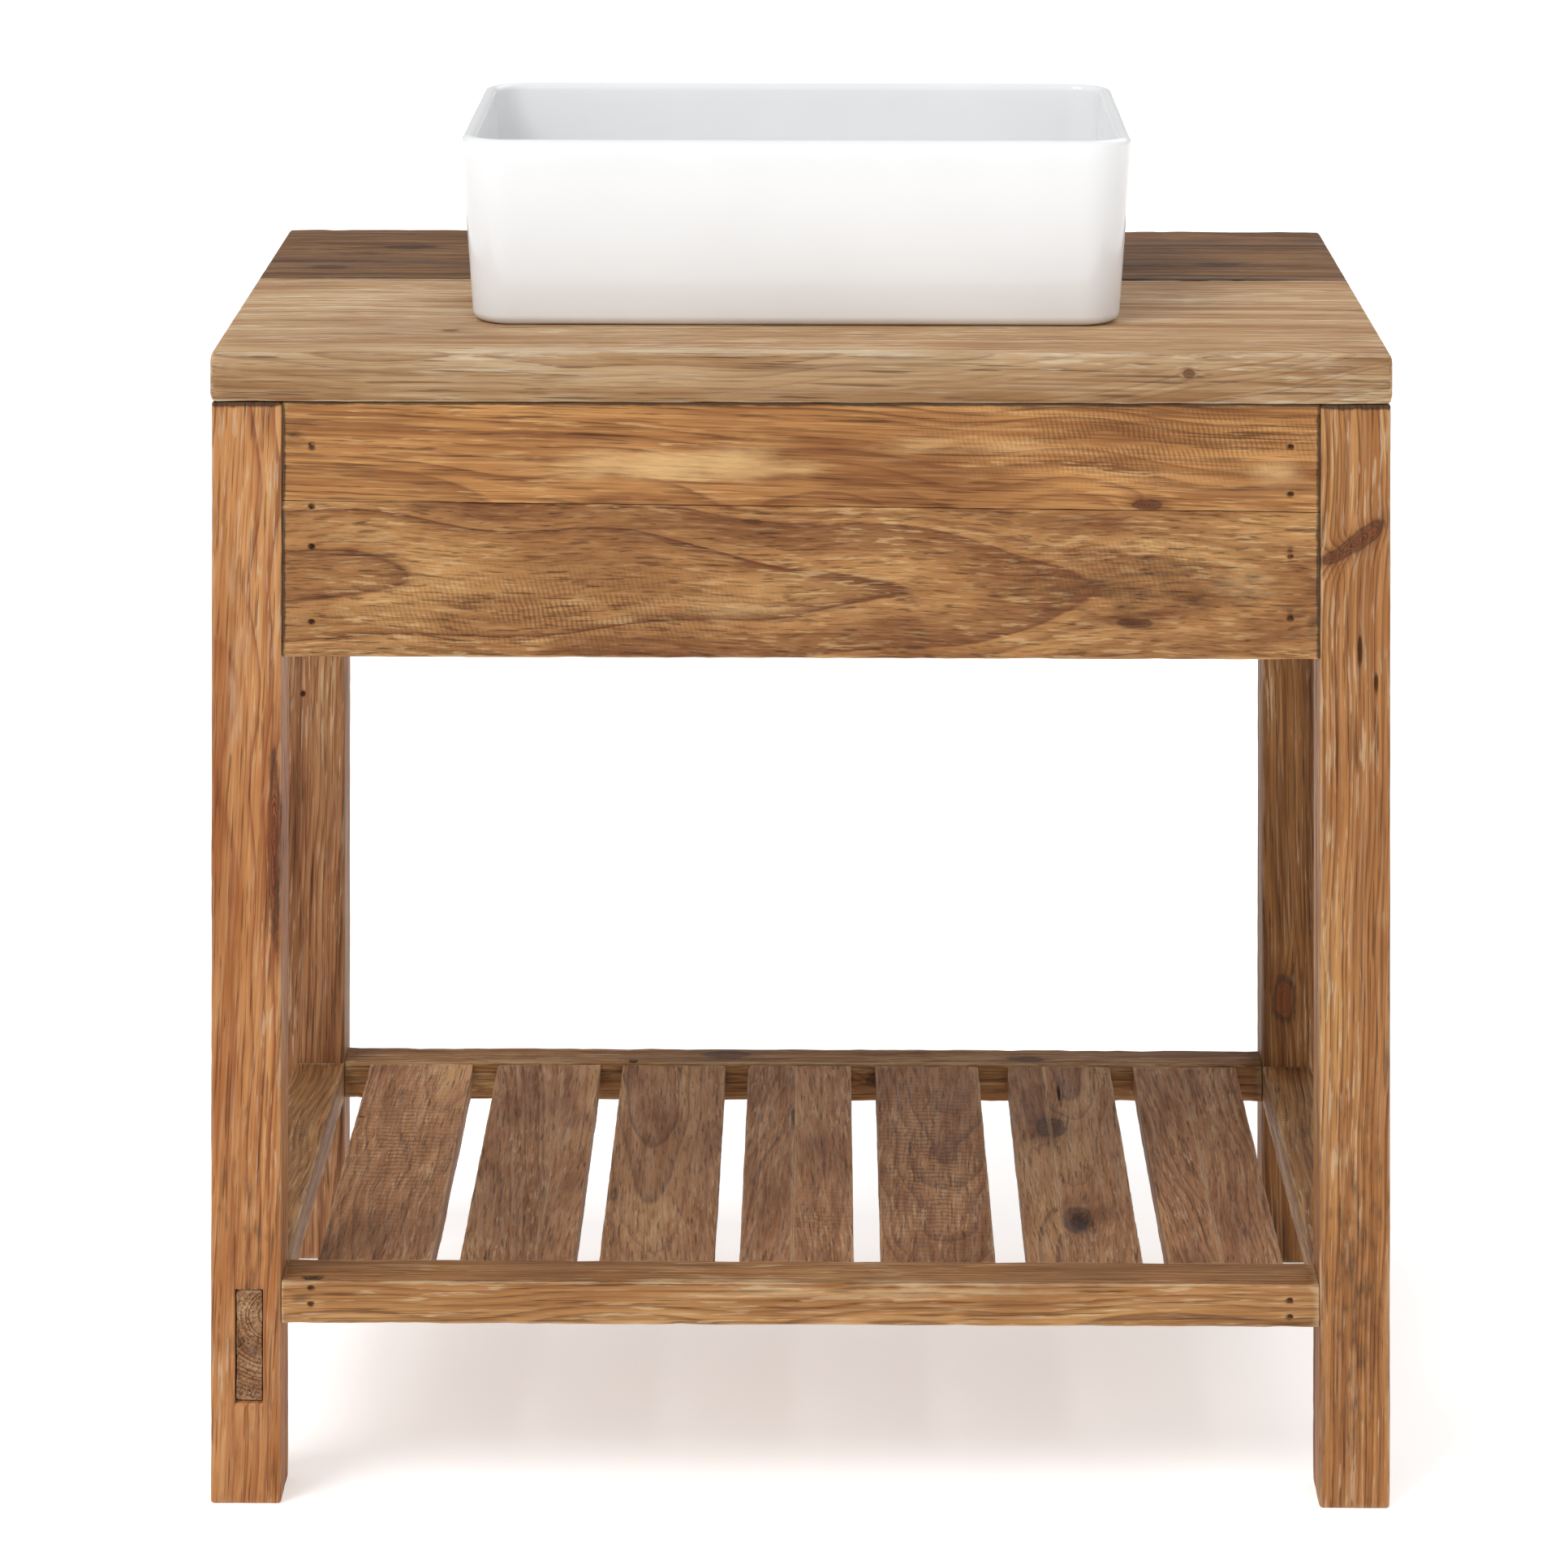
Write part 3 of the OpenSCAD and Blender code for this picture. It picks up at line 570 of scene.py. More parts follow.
# %% [markdown]
# A branch seen end on is a dark round core with rings of its own, in a darker rim of bark.
# Each point knows its distance from the nearest knot in knot sizes, and noise roughens that
# distance, so that no knot is a plain disc.

# %% Group: knot
w, put, out = node_group("knot", {"Distance": 4.0, "Grain": None}, ("Core", "Rim", "Halo", "Ring"))
rough = w.math("SUBTRACT", w.noise(w.stretch(put["Grain"], (36, 70, 70)), 4, 0.62), 0.5)
reach = w.math("MULTIPLY_ADD", rough, 1.5, put["Distance"])
w.feed(out["Core"], w.ease(reach, 1.1, 0.6))
w.feed(out["Rim"], w.math("MULTIPLY", w.ease(reach, 0.7, 0.98), w.ease(reach, 1.35, 1.0)))
w.feed(out["Halo"], w.ease(reach, 2.7, 0.9))
w.feed(out["Ring"], w.math("MULTIPLY_ADD", w.math("SINE", w.math("MULTIPLY", reach, 24)), 0.5, 0.5))
knot_group = w.tree
print("group:", knot_group.name)

# %% [markdown]
# Hands and cloths rub edges pale, and dirt stays in hollows and nail holes. The dark mask
# also carries painted shade: thin dark lines where a board meets the top or a leg. The
# board's points say where. Noise eats into each mask, so that wear ends in flakes.

# %% Group: wear, dirt and painted shade
w, put, out = node_group("wear", {"Wear": None, "Grain": None}, ("Edge", "Pale", "Dark"))
edge, pale, dark = w.split(put["Wear"])
chips = w.math("SUBTRACT", w.noise(w.stretch(put["Grain"], (20, 90, 90)), 4, 0.6), 0.5)
stain_and_shade_noise = w.math("SUBTRACT", w.noise(w.stretch(put["Grain"], (60, 190, 190), (4, 4, 4)), 3), 0.5)
w.feed(out["Edge"], w.ease(w.math("MULTIPLY_ADD", chips, 1.3, edge), 0.35, 0.95))
w.feed(out["Pale"], w.ease(w.math("MULTIPLY_ADD", chips, 0.9, pale), 0.3, 0.9))
# Dark: real stains and dirt, and also the painted shade lines at the joints.
w.feed(out["Dark"], w.ease(w.math("MULTIPLY_ADD", stain_and_shade_noise, 0.9, dark), 0.3, 0.85))
wear_and_shade_group = w.tree
print("groups:", [g.name for g in bpy.data.node_groups])

# %% [markdown]
# ## The pine finish
# One recipe serves every board: early wood and late wood, then streaks, pores and flecks,
# then knots, stains, painted shade at the joints and rubbed edges. Each slot gets its own
# colours, because the boards came from different trees and weathered in different places.

# %% The recipe for a pine board
# The second dark colour serves real dirt and stains, and also the painted shade lines under the top and
# at the apron ends.
BARK, DIRT_AND_PAINTED_SHADE = (44, 28, 20), (46, 31, 22)


def material(name):
    """An empty material with a Principled shader, and the wiring to fill it."""
    mat = bpy.data.materials.get(name) or bpy.data.materials.new(name)
    mat.use_nodes = True
    mat.node_tree.nodes.clear()
    w = Wiring(mat.node_tree)
    shader = w.node("ShaderNodeBsdfPrincipled")
    end = w.node("ShaderNodeOutputMaterial")
    mat.node_tree.links.new(shader.outputs[0], end.inputs[0])
    return mat, w, shader


def times(colour, share):
    """The same colour, darker or lighter."""
    return [value * share for value in colour]


def attribute(w, name, output="Vector"):
    """A value that the board's points carry."""
    return w.node("ShaderNodeAttribute", attribute_name=name).outputs[output]


def pine(name, early, late, light, shade, pale=(205, 180, 148), knot=(74, 44, 30),
         spacing=0.0045, wobble=0.005, lines_at=0.75, fleck=0.45, edge=0.6, cloudy=0.5,
         slant=0.25, pitch=0.0034, relief=0.5, streaky=0.4):
    """A brushed old-pine finish. early and late are the two woods of a ring; light and
    shade are what the board drifts to in broad patches; pale is its rubbed wood."""
    mat, w, shader = material(name)
    grain, fibre, wear, mark = (attribute(w, key) for key in ("grain", "fibre", "wear", "mark"))
    tone = attribute(w, "tone", "Fac")
    near, sawn, swell = w.split(mark)
    ring = w.use(rings_group, Grain=grain, Swell=swell, Spacing=spacing, Wobble=wobble)
    strand = w.use(fibres_group, Fibre=fibre)
    saw = w.use(saw_group, Grain=fibre, Strength=sawn, Pitch=pitch, Slant=slant)["Mark"]
    branch = w.use(knot_group, Distance=near, Grain=grain)
    worn = w.use(wear_and_shade_group, Wear=wear, Grain=fibre)
    drift = w.math("ADD", w.math("MULTIPLY", strand["Cloud"], cloudy),
                   w.math("MULTIPLY", ring["Band"], 1 - cloudy))
    streak, fine = strand["Streak"], strand["Fine"]
    heart = w.blend(branch["Ring"], srgb(*times(knot, 0.75)), srgb(*times(late, 1.1)))
    layers = (
        (w.ease(drift, 0.5, 0.64), 0.9, light),
        (w.ease(streak, 0.52, 0.3), streaky, late),
        (w.ease(streak, 0.5, 0.68), streaky, light),
        (ring["Late"], lines_at, late),
        (w.ease(fine, 0.48, 0.34), 0.42, times(late, 0.8)),
        (w.ease(fine, 0.55, 0.7), 0.2, pale),
        (strand["Pore"], 0.55, times(late, 0.45)),
        (strand["Fleck"], fleck, pale),
        (saw, 0.62, times(shade, 0.62)),
        (branch["Halo"], 0.4, late),
        (branch["Core"], 0.85, heart),
        (branch["Rim"], 0.6, BARK),
        (worn["Pale"], 0.7, pale),
        (worn["Edge"], edge, pale),
        # Dark mask: stains and dirt, plus painted shade at the joints.
        (worn["Dark"], 0.85, DIRT_AND_PAINTED_SHADE),
    )
    colour = w.blend(w.ease(drift, 0.36, 0.52), srgb(*shade), srgb(*early))
    for mask, share, tint in layers:
        tint = tint if tint is heart else srgb(*tint)
        colour = w.blend(w.math("MULTIPLY", mask, share), colour, tint)
    brighter = w.ease(tone, 0.0, 1.0, 0.6, 1.12)
    scale = w.node("ShaderNodeVectorMath", operation="SCALE")
    w.feed(scale.inputs[0], colour)
    w.feed(scale.inputs["Scale"], brighter)
    w.feed(shader.inputs["Base Color"], scale.outputs[0])
    height = w.math("MULTIPLY_ADD", ring["Late"], 0.5, w.math("MULTIPLY", fine, 0.5))
    for mask, share in ((streak, 0.4), (strand["Pore"], -0.5), (saw, -0.9), (worn["Dark"], -0.5)):
        height = w.math("MULTIPLY_ADD", mask, share, height)
    bump = w.node("ShaderNodeBump")
    bump.inputs["Strength"].default_value = relief
    bump.inputs["Distance"].default_value = 0.002
    w.feed(bump.inputs["Height"], height)
    w.feed(shader.inputs["Normal"], bump.outputs[0])
    w.feed(shader.inputs["Roughness"], w.ease(streak, 0.3, 0.7, 0.72, 0.5))
    shader.inputs["Specular IOR Level"].default_value = 0.18
    return mat


print("pine recipe ready")

# %% [markdown]
# Each slot has its own early and late wood, light and shade, and ring spacing. Fast-grown
# wood has wide rings, as on the lower apron, and the old rails have very fine ones.

# %% The colours of each board's own tree
pine("pine_top_front", (188, 150, 108), (134, 88, 54), (210, 180, 140), (162, 120, 78),
     pale=(228, 212, 186), spacing=0.0062, lines_at=0.55, fleck=0.5, edge=0.65)
pine("pine_top_back", (131, 89, 48), (76, 44, 22), (150, 108, 64), (99, 63, 32),
     pale=(178, 145, 104), spacing=0.004, lines_at=0.6, fleck=0.3)
pine("pine_apron_upper", (176, 122, 70), (106, 58, 30), (210, 156, 94), (142, 92, 50),
     pale=(222, 182, 126), spacing=0.0046, lines_at=0.75, cloudy=0.6)
pine("pine_apron_lower", (166, 116, 68), (92, 44, 22), (188, 140, 86), (134, 88, 50),
     pale=(212, 178, 128), spacing=0.0105, wobble=0.016, lines_at=0.9, cloudy=0.7, streaky=0.25)
pine("pine_side", (158, 108, 64), (100, 58, 32), (184, 136, 86), (130, 86, 52), spacing=0.005)
pine("leg_front_left", (186, 129, 77), (126, 62, 30), (210, 159, 102), (160, 101, 53),
     spacing=0.0062, lines_at=0.85, edge=0.35, streaky=0.25)
pine("leg_front_right", (166, 112, 63), (108, 58, 28), (190, 141, 86), (140, 89, 47),
     spacing=0.0042, wobble=0.003, lines_at=0.85, edge=0.45, streaky=0.25)
pine("leg_back_left", (160, 108, 68), (96, 54, 30), (186, 140, 94), (126, 82, 50),
     spacing=0.004, lines_at=0.75, edge=0.35)
pine("leg_back_right", (144, 96, 50), (86, 48, 22), (168, 120, 70), (112, 72, 37),
     knot=(150, 78, 36), spacing=0.004, lines_at=0.75, edge=0.35)
pine("rough_plug", (150, 104, 68), (78, 46, 28), (182, 138, 96), (104, 68, 44),
     spacing=0.003, lines_at=0.9, relief=0.9)
pine("planed_pine", (196, 158, 112), (160, 112, 70), (212, 180, 138), (178, 138, 94),
     spacing=0.005, edge=0.2, fleck=0.1)
pine("pine_rail", (164, 114, 66), (98, 57, 31), (193, 147, 93), (133, 90, 52),
     pale=(212, 184, 144), spacing=0.003, wobble=0.0015, lines_at=0.7, edge=0.5,
     streaky=0.3)
pine("pine_slat", (168, 118, 78), (98, 58, 35), (192, 146, 100), (134, 88, 56),
     pale=(208, 176, 138), spacing=0.0062, lines_at=0.7, edge=0.45, pitch=0.0075, slant=0.06,
     streaky=0.3)
print("pine finishes:", len(bpy.data.materials))

# %% [markdown]
# ## The top
# Two planks, glued edge to edge. The front one is the paler and its front edge shows the
# end of a wide growth pattern. The back one is darker, with a line of old worm holes
# beside the seam. The outer edges are well rounded, the glued ones hardly at all.

# %% The two planks of the top
board("top_board_front", "xyz", ease=(2.6, 0.5, 0.6, 3.4), wear=0.5, end_ease=4, sag=0.3,
      seed=3, pith=(-158, 30), slope=(0.01, -0.01), bow=0.00022, bow_at=-170, sway=(2.5, 2),
      tone=0.65, w0_tone=-0.4, glued=1,
      knots=[spot("d1", -243, -60, 5, 3.5, push=4), spot("w0", 262, 4, 4, 3, push=3)],
      pale=[spot("d1", -60, -135, 260, 14, much=0.7), spot("d1", -150, -30, 330, 90, much=0.5)],
      dark=[spot("d1", 215, 137, 60, 2.2, much=0.8), spot("w0", -390, 0, 14, 18, much=0.4)])
board("top_board_back", "xyz", ease=(0.5, 2.6, 3.2, 0.6), wear=0.5, end_ease=4, sag=0.35,
      seed=8, pith=(60, -70), slope=(0.01, 0.02), sway=(2.5, 2), tone=0.46, glued=-1,
      pits=[spot("d1", x, -106 + w, 5 + 4 * (k % 3), 1.1, deep=1.6)
            for k, (x, w) in enumerate([(118, 0), (141, 2), (166, -1), (190, 3), (214, 0),
                                        (240, 2), (262, -1), (287, 1), (60, 3), (318, 2)])],
      knots=[spot("d1", -300, 30, 16, 8, push=6), spot("d1", -352, -60, 12, 6, push=5),
             spot("d1", 310, -40, 14, 7, push=6)],
      dark=[spot("d1", 225, -102.5, 150, 6, much=1.5), spot("d1", -300, -105, 130, 3, much=1.1),
            spot("d1", -330, 0, 50, 14, much=0.6)],
      pale=[spot("d1", 0, 108, 300, 5, much=0.6)])
print("top planks laid")

# %% [markdown]
# ## The legs
# Square posts. Each has its own figure: the front left leg has a dark streak and the filled
# pocket of an old mortise, the front right one straight grain with a slanting knot. The
# pocket is a real recess, with upright walls, and a rough plug stands a little below its
# mouth.

# %% Four legs and the plug
plug_low, plug_high = (np.array(v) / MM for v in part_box("mortise_plug"))
leg_low, leg_high = (np.array(v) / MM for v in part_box("leg_front_left"))
pocket = ((plug_low + plug_high) - (leg_low + leg_high)) / 2
pocket_size = (plug_high - plug_low) / 2
# A thin dark band across the top of each front leg, just under the top: painted shade of the gap under
# the top.
LEG_TOP_PAINTED_SHADE = spot("d0", 373, 0, 3.5, 60, much=1.5)
LEG = {"ease": 2.6, "wear": 0.35, "end_ease": 2, "sag": 0.3}
board("leg_front_left", "zxy", **LEG, seed=14,
      pith=(-30, 34), slope=(0.045, 0.02), sway=(1.6, 1.6), tone=0.53,
      pits=[spot("d0", pocket[2], pocket[0], pocket_size[2] + 0.4, pocket_size[0] + 0.4,
                 deep=11, square=True, much=0.55)],
      knots=[spot("d0", 78, 19, 55, 4, push=3, fade=0.4)],
      dark=[spot("d0", 40, 21, 90, 4, much=0.62), spot("d0", -230, 0, 190, 30, much=0.46),
            LEG_TOP_PAINTED_SHADE],
      pale=[spot("d0", 200, -8, 120, 9, much=0.5)])
board("leg_front_right", "zxy", **LEG, seed=15,
      pith=(70, 20), slope=(0.015, 0.01), sway=(2, 2), tone=0.52,
      pits=[spot("d0", 207, 3, 9, 1.2, deep=1.6), spot("d0", 185, 14, 6, 1.1, deep=1.4)],
      knots=[spot("d0", 281, 2, 6, 15, lean=0.62, push=4), spot("d0", 270, -15, 4, 8, lean=0.4)],
      dark=[spot("d0", 281, -3, 8, 18, much=0.4), spot("d0", -166, 17, 16, 2, much=0.5),
            spot("d0", -220, 0, 210, 30, much=0.52), LEG_TOP_PAINTED_SHADE])
board("leg_back_left", "zxy", **LEG, seed=17,
      pith=(50, 30), slope=(0.02, 0.02), sway=(1.5, 1.5), tone=0.55,
      pits=[spot("d0", 190, 6, 2, 1.6, deep=2), spot("d0", 60, -8, 2, 1.6, deep=2)],
      dark=[spot("d0", 185, 0, 40, 20, much=0.5)])
board("leg_back_right", "zxy", **LEG, seed=18,
      pith=(-45, 35), slope=(-0.02, 0.02), sway=(1.5, 1.5), tone=0.6,
      knots=[spot("d0", -172, -7, 17, 8, push=5)])
board("mortise_plug", "yzx", ease=1.2, wear=1.5, end_ease=0.8, sag=0.5, step=2, seed=21,
      pith=(20, 14), sway=(0, 0), tone=0.55)
print("pocket in the left leg:", pocket.round(1), pocket_size.round(1))

# %% [markdown]
# ## The aprons
# The front apron is two boards glued along a seam that falls towards the right. The lower
# one was sawn at a slight angle to the tree's middle, so its wide rings run out of the face
# as long nested loops. The slope value says how fast the middle comes nearer, the bow value
# how it bends. Slanting brads pin both ends, and each left a small stained pit.

# %% The front apron
APRON_LOW, APRON_HIGH = (np.array(v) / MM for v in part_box("apron_front_lower"))
UPPER_LOW = np.array(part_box("apron_front_upper")[0]) / MM
seam_fall = APRON_HIGH[2] - UPPER_LOW[2]
BRAD_X = APRON_HIGH[0] - 20


def seam_below(l, w, half_w):
    """The lower board's upper edge falls in a straight line from left to right."""
    share = (l / (APRON_HIGH[0] - APRON_LOW[0])) + 0.5
    return -half_w + (w + half_w) * (1 - seam_fall * share / (2 * half_w))


def seam_above(l, w, half_w):
    """The upper board's lower edge follows the same line."""
    share = (l / (APRON_HIGH[0] - APRON_LOW[0])) + 0.5
    return half_w - (half_w - w) * (1 - seam_fall * (1 - share) / (2 * half_w))


def brads(side, node, heights_left, heights_right, tilt=None):
    """Pits of the brads at both ends, given their heights above the floor. On a board with
    a slanting edge the height is first taken back to where it was before the slant."""
    low, high = (np.array(v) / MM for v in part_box(node))
    middle, half = (low + high)[2] / 2, (high - low)[2] / 2
    pits = []
    for x, heights in ((-BRAD_X, heights_left), (BRAD_X, heights_right)):
        zero, one = (tilt(x, v, half) for v in (0, 1)) if tilt else (0, 1)
        for z in heights:
            height = (z - middle - zero) / (one - zero)
            pits.append(spot(side, x, height, 2.2, 1.7, deep=2.3, much=0.85))
    return pits


# Thin dark lines at both ends of each apron board: painted shade of the gap where the apron meets a
# leg.
JOINT_X = APRON_HIGH[0] - 0.5
joint_painted_shade = [spot("d0", s * JOINT_X, 0, 2.2, 90, much=1.1) for s in (-1, 1)]
board("apron_front_lower", "xzy", ease=(1.6, 1.2, 0.6, 0.5), end_ease=0.9, sag=0.3, seed=24,
      pith=(-4, 36), slope=(-0.02, 0.08), bow=0.00004, bow_at=60, sway=(5, 2), tone=0.46,
      tilt=seam_below,
      pits=brads("d0", "apron_front_lower", (597, 648, 675), (601, 643), seam_below),
      sawn=[spot("d0", -170, -22, 110, 24, much=0.8), spot("d0", 215, 6, 60, 22, much=0.4)],
      knots=[spot("d0", 226, -28, 12, 3, push=2)],
      dark=[spot("d0", 346, -30, 7, 16, much=0.6), spot("d0", 240, -4, 150, 44, much=0.5),
            *joint_painted_shade],
      pale=[spot("d0", -40, -20, 120, 14, much=0.5), spot("d0", 300, -2, 40, 24, much=0.5),
            spot("d0", -300, 30, 50, 10, much=0.5)])
board("apron_front_upper", "xzy", ease=(0.6, 0.5, 1.2, 1.2), end_ease=0.9, sag=0.3, seed=26,
      pith=(-40, 58), slope=(-0.03, 0.02), sway=(2, 2), tone=0.5, tilt=seam_above,
      pits=brads("d0", "apron_front_upper", (717,), (685, 717), seam_above),
      sawn=[spot("d0", 230, 12, 110, 22, much=0.9)],
      knots=[spot("d0", 234, -32, 9, 3, push=2)],
      dark=[spot("d0", -343, 12, 12, 12, much=0.55), spot("d0", -250, 30, 60, 5, much=0.4),
            # The long thin dark strip along the upper edge is painted shade under the top.
            spot("d0", 0, 37.5, 900, 3, much=1.5), *joint_painted_shade],
      pale=[spot("d0", -80, -6, 130, 15, much=0.85), spot("d0", 120, 8, 120, 10, much=0.6),
            spot("d0", 320, -10, 30, 16, much=0.7)])
print("front apron: the seam falls", round(seam_fall, 1), "mm")

# %% [markdown]
# These parts are out of sight from the front. The side aprons were made like the front one.
# The cleats are new planed battens, so they are straighter, paler and sharper.

# %% The side aprons, the rail behind and the cleats that hold the top
for k, node in enumerate(("apron_left_lower", "apron_left_upper", "apron_right_lower",
                          "apron_right_upper")):
    outer = "d0" if "left" in node else "d1"
    board(node, "yzx", ease=0.9, end_ease=0.8, sag=0.3, seed=30 + k, pith=(12 * k - 20, 52),
          slope=(0.02, 0.09 * (-1) ** k), bow=0.00005, sway=(2, 2), tone=0.48 + 0.03 * k,
          sawn=[spot(outer, 60 - 50 * k, 0, 70, 24, much=0.6)],
          pale=[spot(outer, -60, 5, 70, 16, much=0.5)])
board("back_rail_upper", "xzy", ease=1.2, end_ease=0.8, sag=0.3, seed=36, pith=(10, -60),
      slope=(0.01, 0.07), sway=(2, 2), tone=0.48, knots=[spot("d1", 120, 8, 12, 7)],
      sawn=[spot("d1", -120, 0, 140, 34, much=0.7)])
for k, (node, lie) in enumerate((("cleat_front", "xyz"), ("cleat_back", "xyz"),
                                 ("cleat_left", "yxz"), ("cleat_right", "yxz"))):
    board(node, lie, ease=0.8, wear=0.2, sag=0.05, seed=40 + k, pith=(30, -40), tone=0.5)
print("aprons and cleats fitted")

# %% [markdown]
# ## The shelf
# Four rails carry seven slats. The slats are grey-brown old flooring, rougher than the
# frame: saw marks, nail holes, a worn hollow round a knot. Four of them were glued up from
# two strips, so a fine seam runs along them. Their stub tenons hide in the rails, so the
# boards drawn here stop just inside the rails' faces.

# %% The shelf rails
board("shelf_rail_front", "xyz", ease=(1.5, 1.2, 1.2, 1.8), sag=0.3, seed=50, pith=(-60, -20),
      slope=(0.006, 0.01), sway=(1.5, 2), tone=0.52,
      pits=[*brads("w0", "shelf_rail_front", (135, 146), (129, 140)),
            spot("d1", -330, -13, 6, 4, deep=2.5)],
      pale=[spot("w0", 60, 8, 200, 6, much=0.6), spot("d1", 0, -16, 250, 5, much=0.6)],
      dark=[spot("w0", -336, 2, 12, 8, much=0.5)])
board("shelf_rail_back", "xyz", ease=(2.4, 1.4, 1.2, 1.6), wear=1.4, sag=0.5, seed=52,
      pith=(40, -30), slope=(0.02, 0.02), sway=(2, 2), tone=0.28,
      knots=[spot("d1", -60, 3, 16, 7), spot("d1", 170, -4, 12, 6), spot("w0", 60, 2, 10, 5)],
      dark=[spot("d1", -210, 0, 60, 12, much=0.5), spot("d1", 90, 6, 80, 8, much=0.5)],
      pale=[spot("d1", -40, -15, 260, 3.5, much=0.8)])
for k, node in enumerate(("shelf_rail_left", "shelf_rail_right")):
    board(node, "yxz", ease=1.6, wear=1.2, sag=0.5, seed=54 + k, pith=(30 - 60 * k, -30),
          slope=(0.03, 0.02), sway=(5, 4), tone=0.4,
          sawn=[spot("d1", 0, 0, 190, 20, much=1)], dark=[spot("d1", 30, 0, 120, 12, much=0.42)])
print("rails fitted")

# %% [markdown]
# Each slat has its own tree, tone and marks: saw ridges on the first and fifth, a rough edge
# on the third, a split beside the fourth's seam, and knots with a worn hollow on the sixth.

# %% The seven slats
SLATS = {
    "slat_1": dict(tone=0.52, pith=(20, -40), sawn=[spot("d1", 20, 0, 120, 36, much=1)],
                   pits=[spot("d1", 86, -34.8, 2, 2, deep=2)]),
    "slat_2_left": dict(tone=0.32, pith=(-60, -30), pale=[spot("d1", -60, 8, 50, 7, much=0.6)]),
    "slat_2_right": dict(tone=0.45, pith=(34, -25), pale=[spot("d1", 60, -4, 60, 5, much=0.7)]),
    "slat_3": dict(tone=0.36, pith=(-10, -22), wear=2.2,
                   dark=[spot("d1", -80, -34, 60, 4, much=0.6)]),
    "slat_4_left": dict(tone=0.42, pith=(30, -50), pits=[spot("d1", 90, 17, 24, 1, deep=2)]),
    "slat_4_right": dict(tone=0.48, pith=(-26, -36), sawn=[spot("d1", -110, 0, 50, 20, much=0.5)]),
    "slat_5": dict(tone=0.45, pith=(12, -60), sawn=[spot("d1", -20, 0, 170, 36, much=1)]),
    "slat_6_left": dict(tone=0.32, pith=(14, -30), knots=[spot("d1", 67, 12, 17, 8, push=6)]),
    "slat_6_right": dict(tone=0.35, pith=(-14, -30), wear=2,
                         knots=[spot("d1", 67, -24, 17, 8, push=6),
                                spot("d1", -117, -14, 22, 10, push=7)],
                         pits=[spot("d1", 142, -16, 16, 1, deep=2),
                               spot("d1", -122, -13, 14, 5, deep=2.4)]),
    "slat_7_left": dict(tone=0.46, pith=(50, -40)),
    "slat_7_right": dict(tone=0.41, pith=(-44, -36)),
}
for k, (node, look) in enumerate(SLATS.items()):
    glued = 1 if "left" in node else -1 if "right" in node else 0
    ease = {0: 1.1, 1: (1.1, 0.5, 0.5, 1.1), -1: (0.5, 1.1, 1.1, 0.5)}[glued]
    board(node, "yxz", **{"ease": ease, "glued": glued, "wear": 1.2, "sag": 0.4, "step": 8,
                          "seed": 60 + k, "trim": 11.5,
                          "slope": (0.03 * (-1) ** k, 0.06 - 0.12 * (k % 3 == 1)),
                          "sway": (2.5, 2), **look})
print("slats laid:", len(SLATS))

# %% [markdown]
# ## The basin
# Glazed ceramic is cast and fired, so it has no sharp edge anywhere. The basin here is one
# closed skin: round-cornered rectangles that climb the outside, roll over the rim, come
# down the inside, sweep into the floor and go through the waste hole to the underside.
# Each ring can also be part of the way to a circle, which is how the floor meets the waste.

# %% Sizes of the basin
basin_low, basin_high = (np.array(v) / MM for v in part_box("basin"))
basin_mid = (basin_low + basin_high) / 2
half_w, half_d, basin_h = (basin_high - basin_low) * (0.5, 0.5, 1)
LEAN, RIM_R, CORNER, FOOT_R, COVE_R = 8.5, 5.0, 34.0, 7.0, 26.0
FLOOR_Z, FALL, SEAT_Z, HOLLOW, HOLE_R, RECESS_R = 14.0, 4.0, 10.0, 3.0, 22.5, 33.5
ARC_STEPS, SIDE_STEPS = 14, 12
print("basin:", round(2 * half_w), "x", round(2 * half_d), "x", round(basin_h), "mm")


# %% [markdown]
# All rings have the same number of points in the same order, so that any two can be joined.
# A ring is a rounded rectangle, a circle, or a mix of the two.

# %% One ring of the basin, as a whole array of points
def ring_frame():
    """For each point of a ring: its share of the straight sides, its direction, and the
    even angle that it has on a circle."""
    share, point = [], []
    for q in range(4):
        sw, sd = ((-1, -1), (1, -1), (1, 1), (-1, 1))[q]
        tw, td = ((1, -1), (1, 1), (-1, 1), (-1, -1))[q]
        a = math.radians(-90 + 90 * q)
        for t in np.arange(1, SIDE_STEPS + 1) / (SIDE_STEPS + 1):
            share.append((sw + (tw - sw) * t, sd + (td - sd) * t))
            point.append((math.cos(a), math.sin(a)))
        for turn in np.radians(np.linspace(-90, 0, ARC_STEPS + 1) + 90 * q):
            share.append((tw, td))
            point.append((math.cos(turn), math.sin(turn)))
    count = len(share)
    angle = np.radians(-135 + 360 * (np.arange(count) + 1) / count)
    return np.array(share), np.array(point), np.stack([np.cos(angle), np.sin(angle)], -1)


SHARE, POINT, EVEN = ring_frame()


def ring(long, deep, corner, z, round_share=0.0, radius=0.0):
    """(1 - s) x rounded rectangle + s x circle, at height z. long and deep are the
    rectangle's half sizes."""
    straight = SHARE * (long - corner, deep - corner) + corner * POINT
    flat = straight * (1 - round_share) + EVEN * radius * round_share
    return np.concatenate([flat, np.full((len(flat), 1), z)], -1)


print("points in a ring:", len(SHARE))

# %% [markdown]
# The rings follow the section of the wall. They start at the waste hole's lower edge, cross
# the hollow under the basin, climb the leaning outside, roll over the rim, come down inside
# and sweep through the cove to the floor, the recess and the hole. Slow ripples of under a
# tenth of a percent keep it from looking machined.

# %% Climbing the outside, the rim, the inside and the waste hole
def inset_ring(inset, corner, z):
    """A rounded rectangle that much inside the basin's outer size."""
    return ring(half_w - inset, half_d - inset, corner, z)


def circle(radius, z):
    """A ring that is all circle."""
    return ring(half_w, half_d, CORNER, z, 1.0, radius)


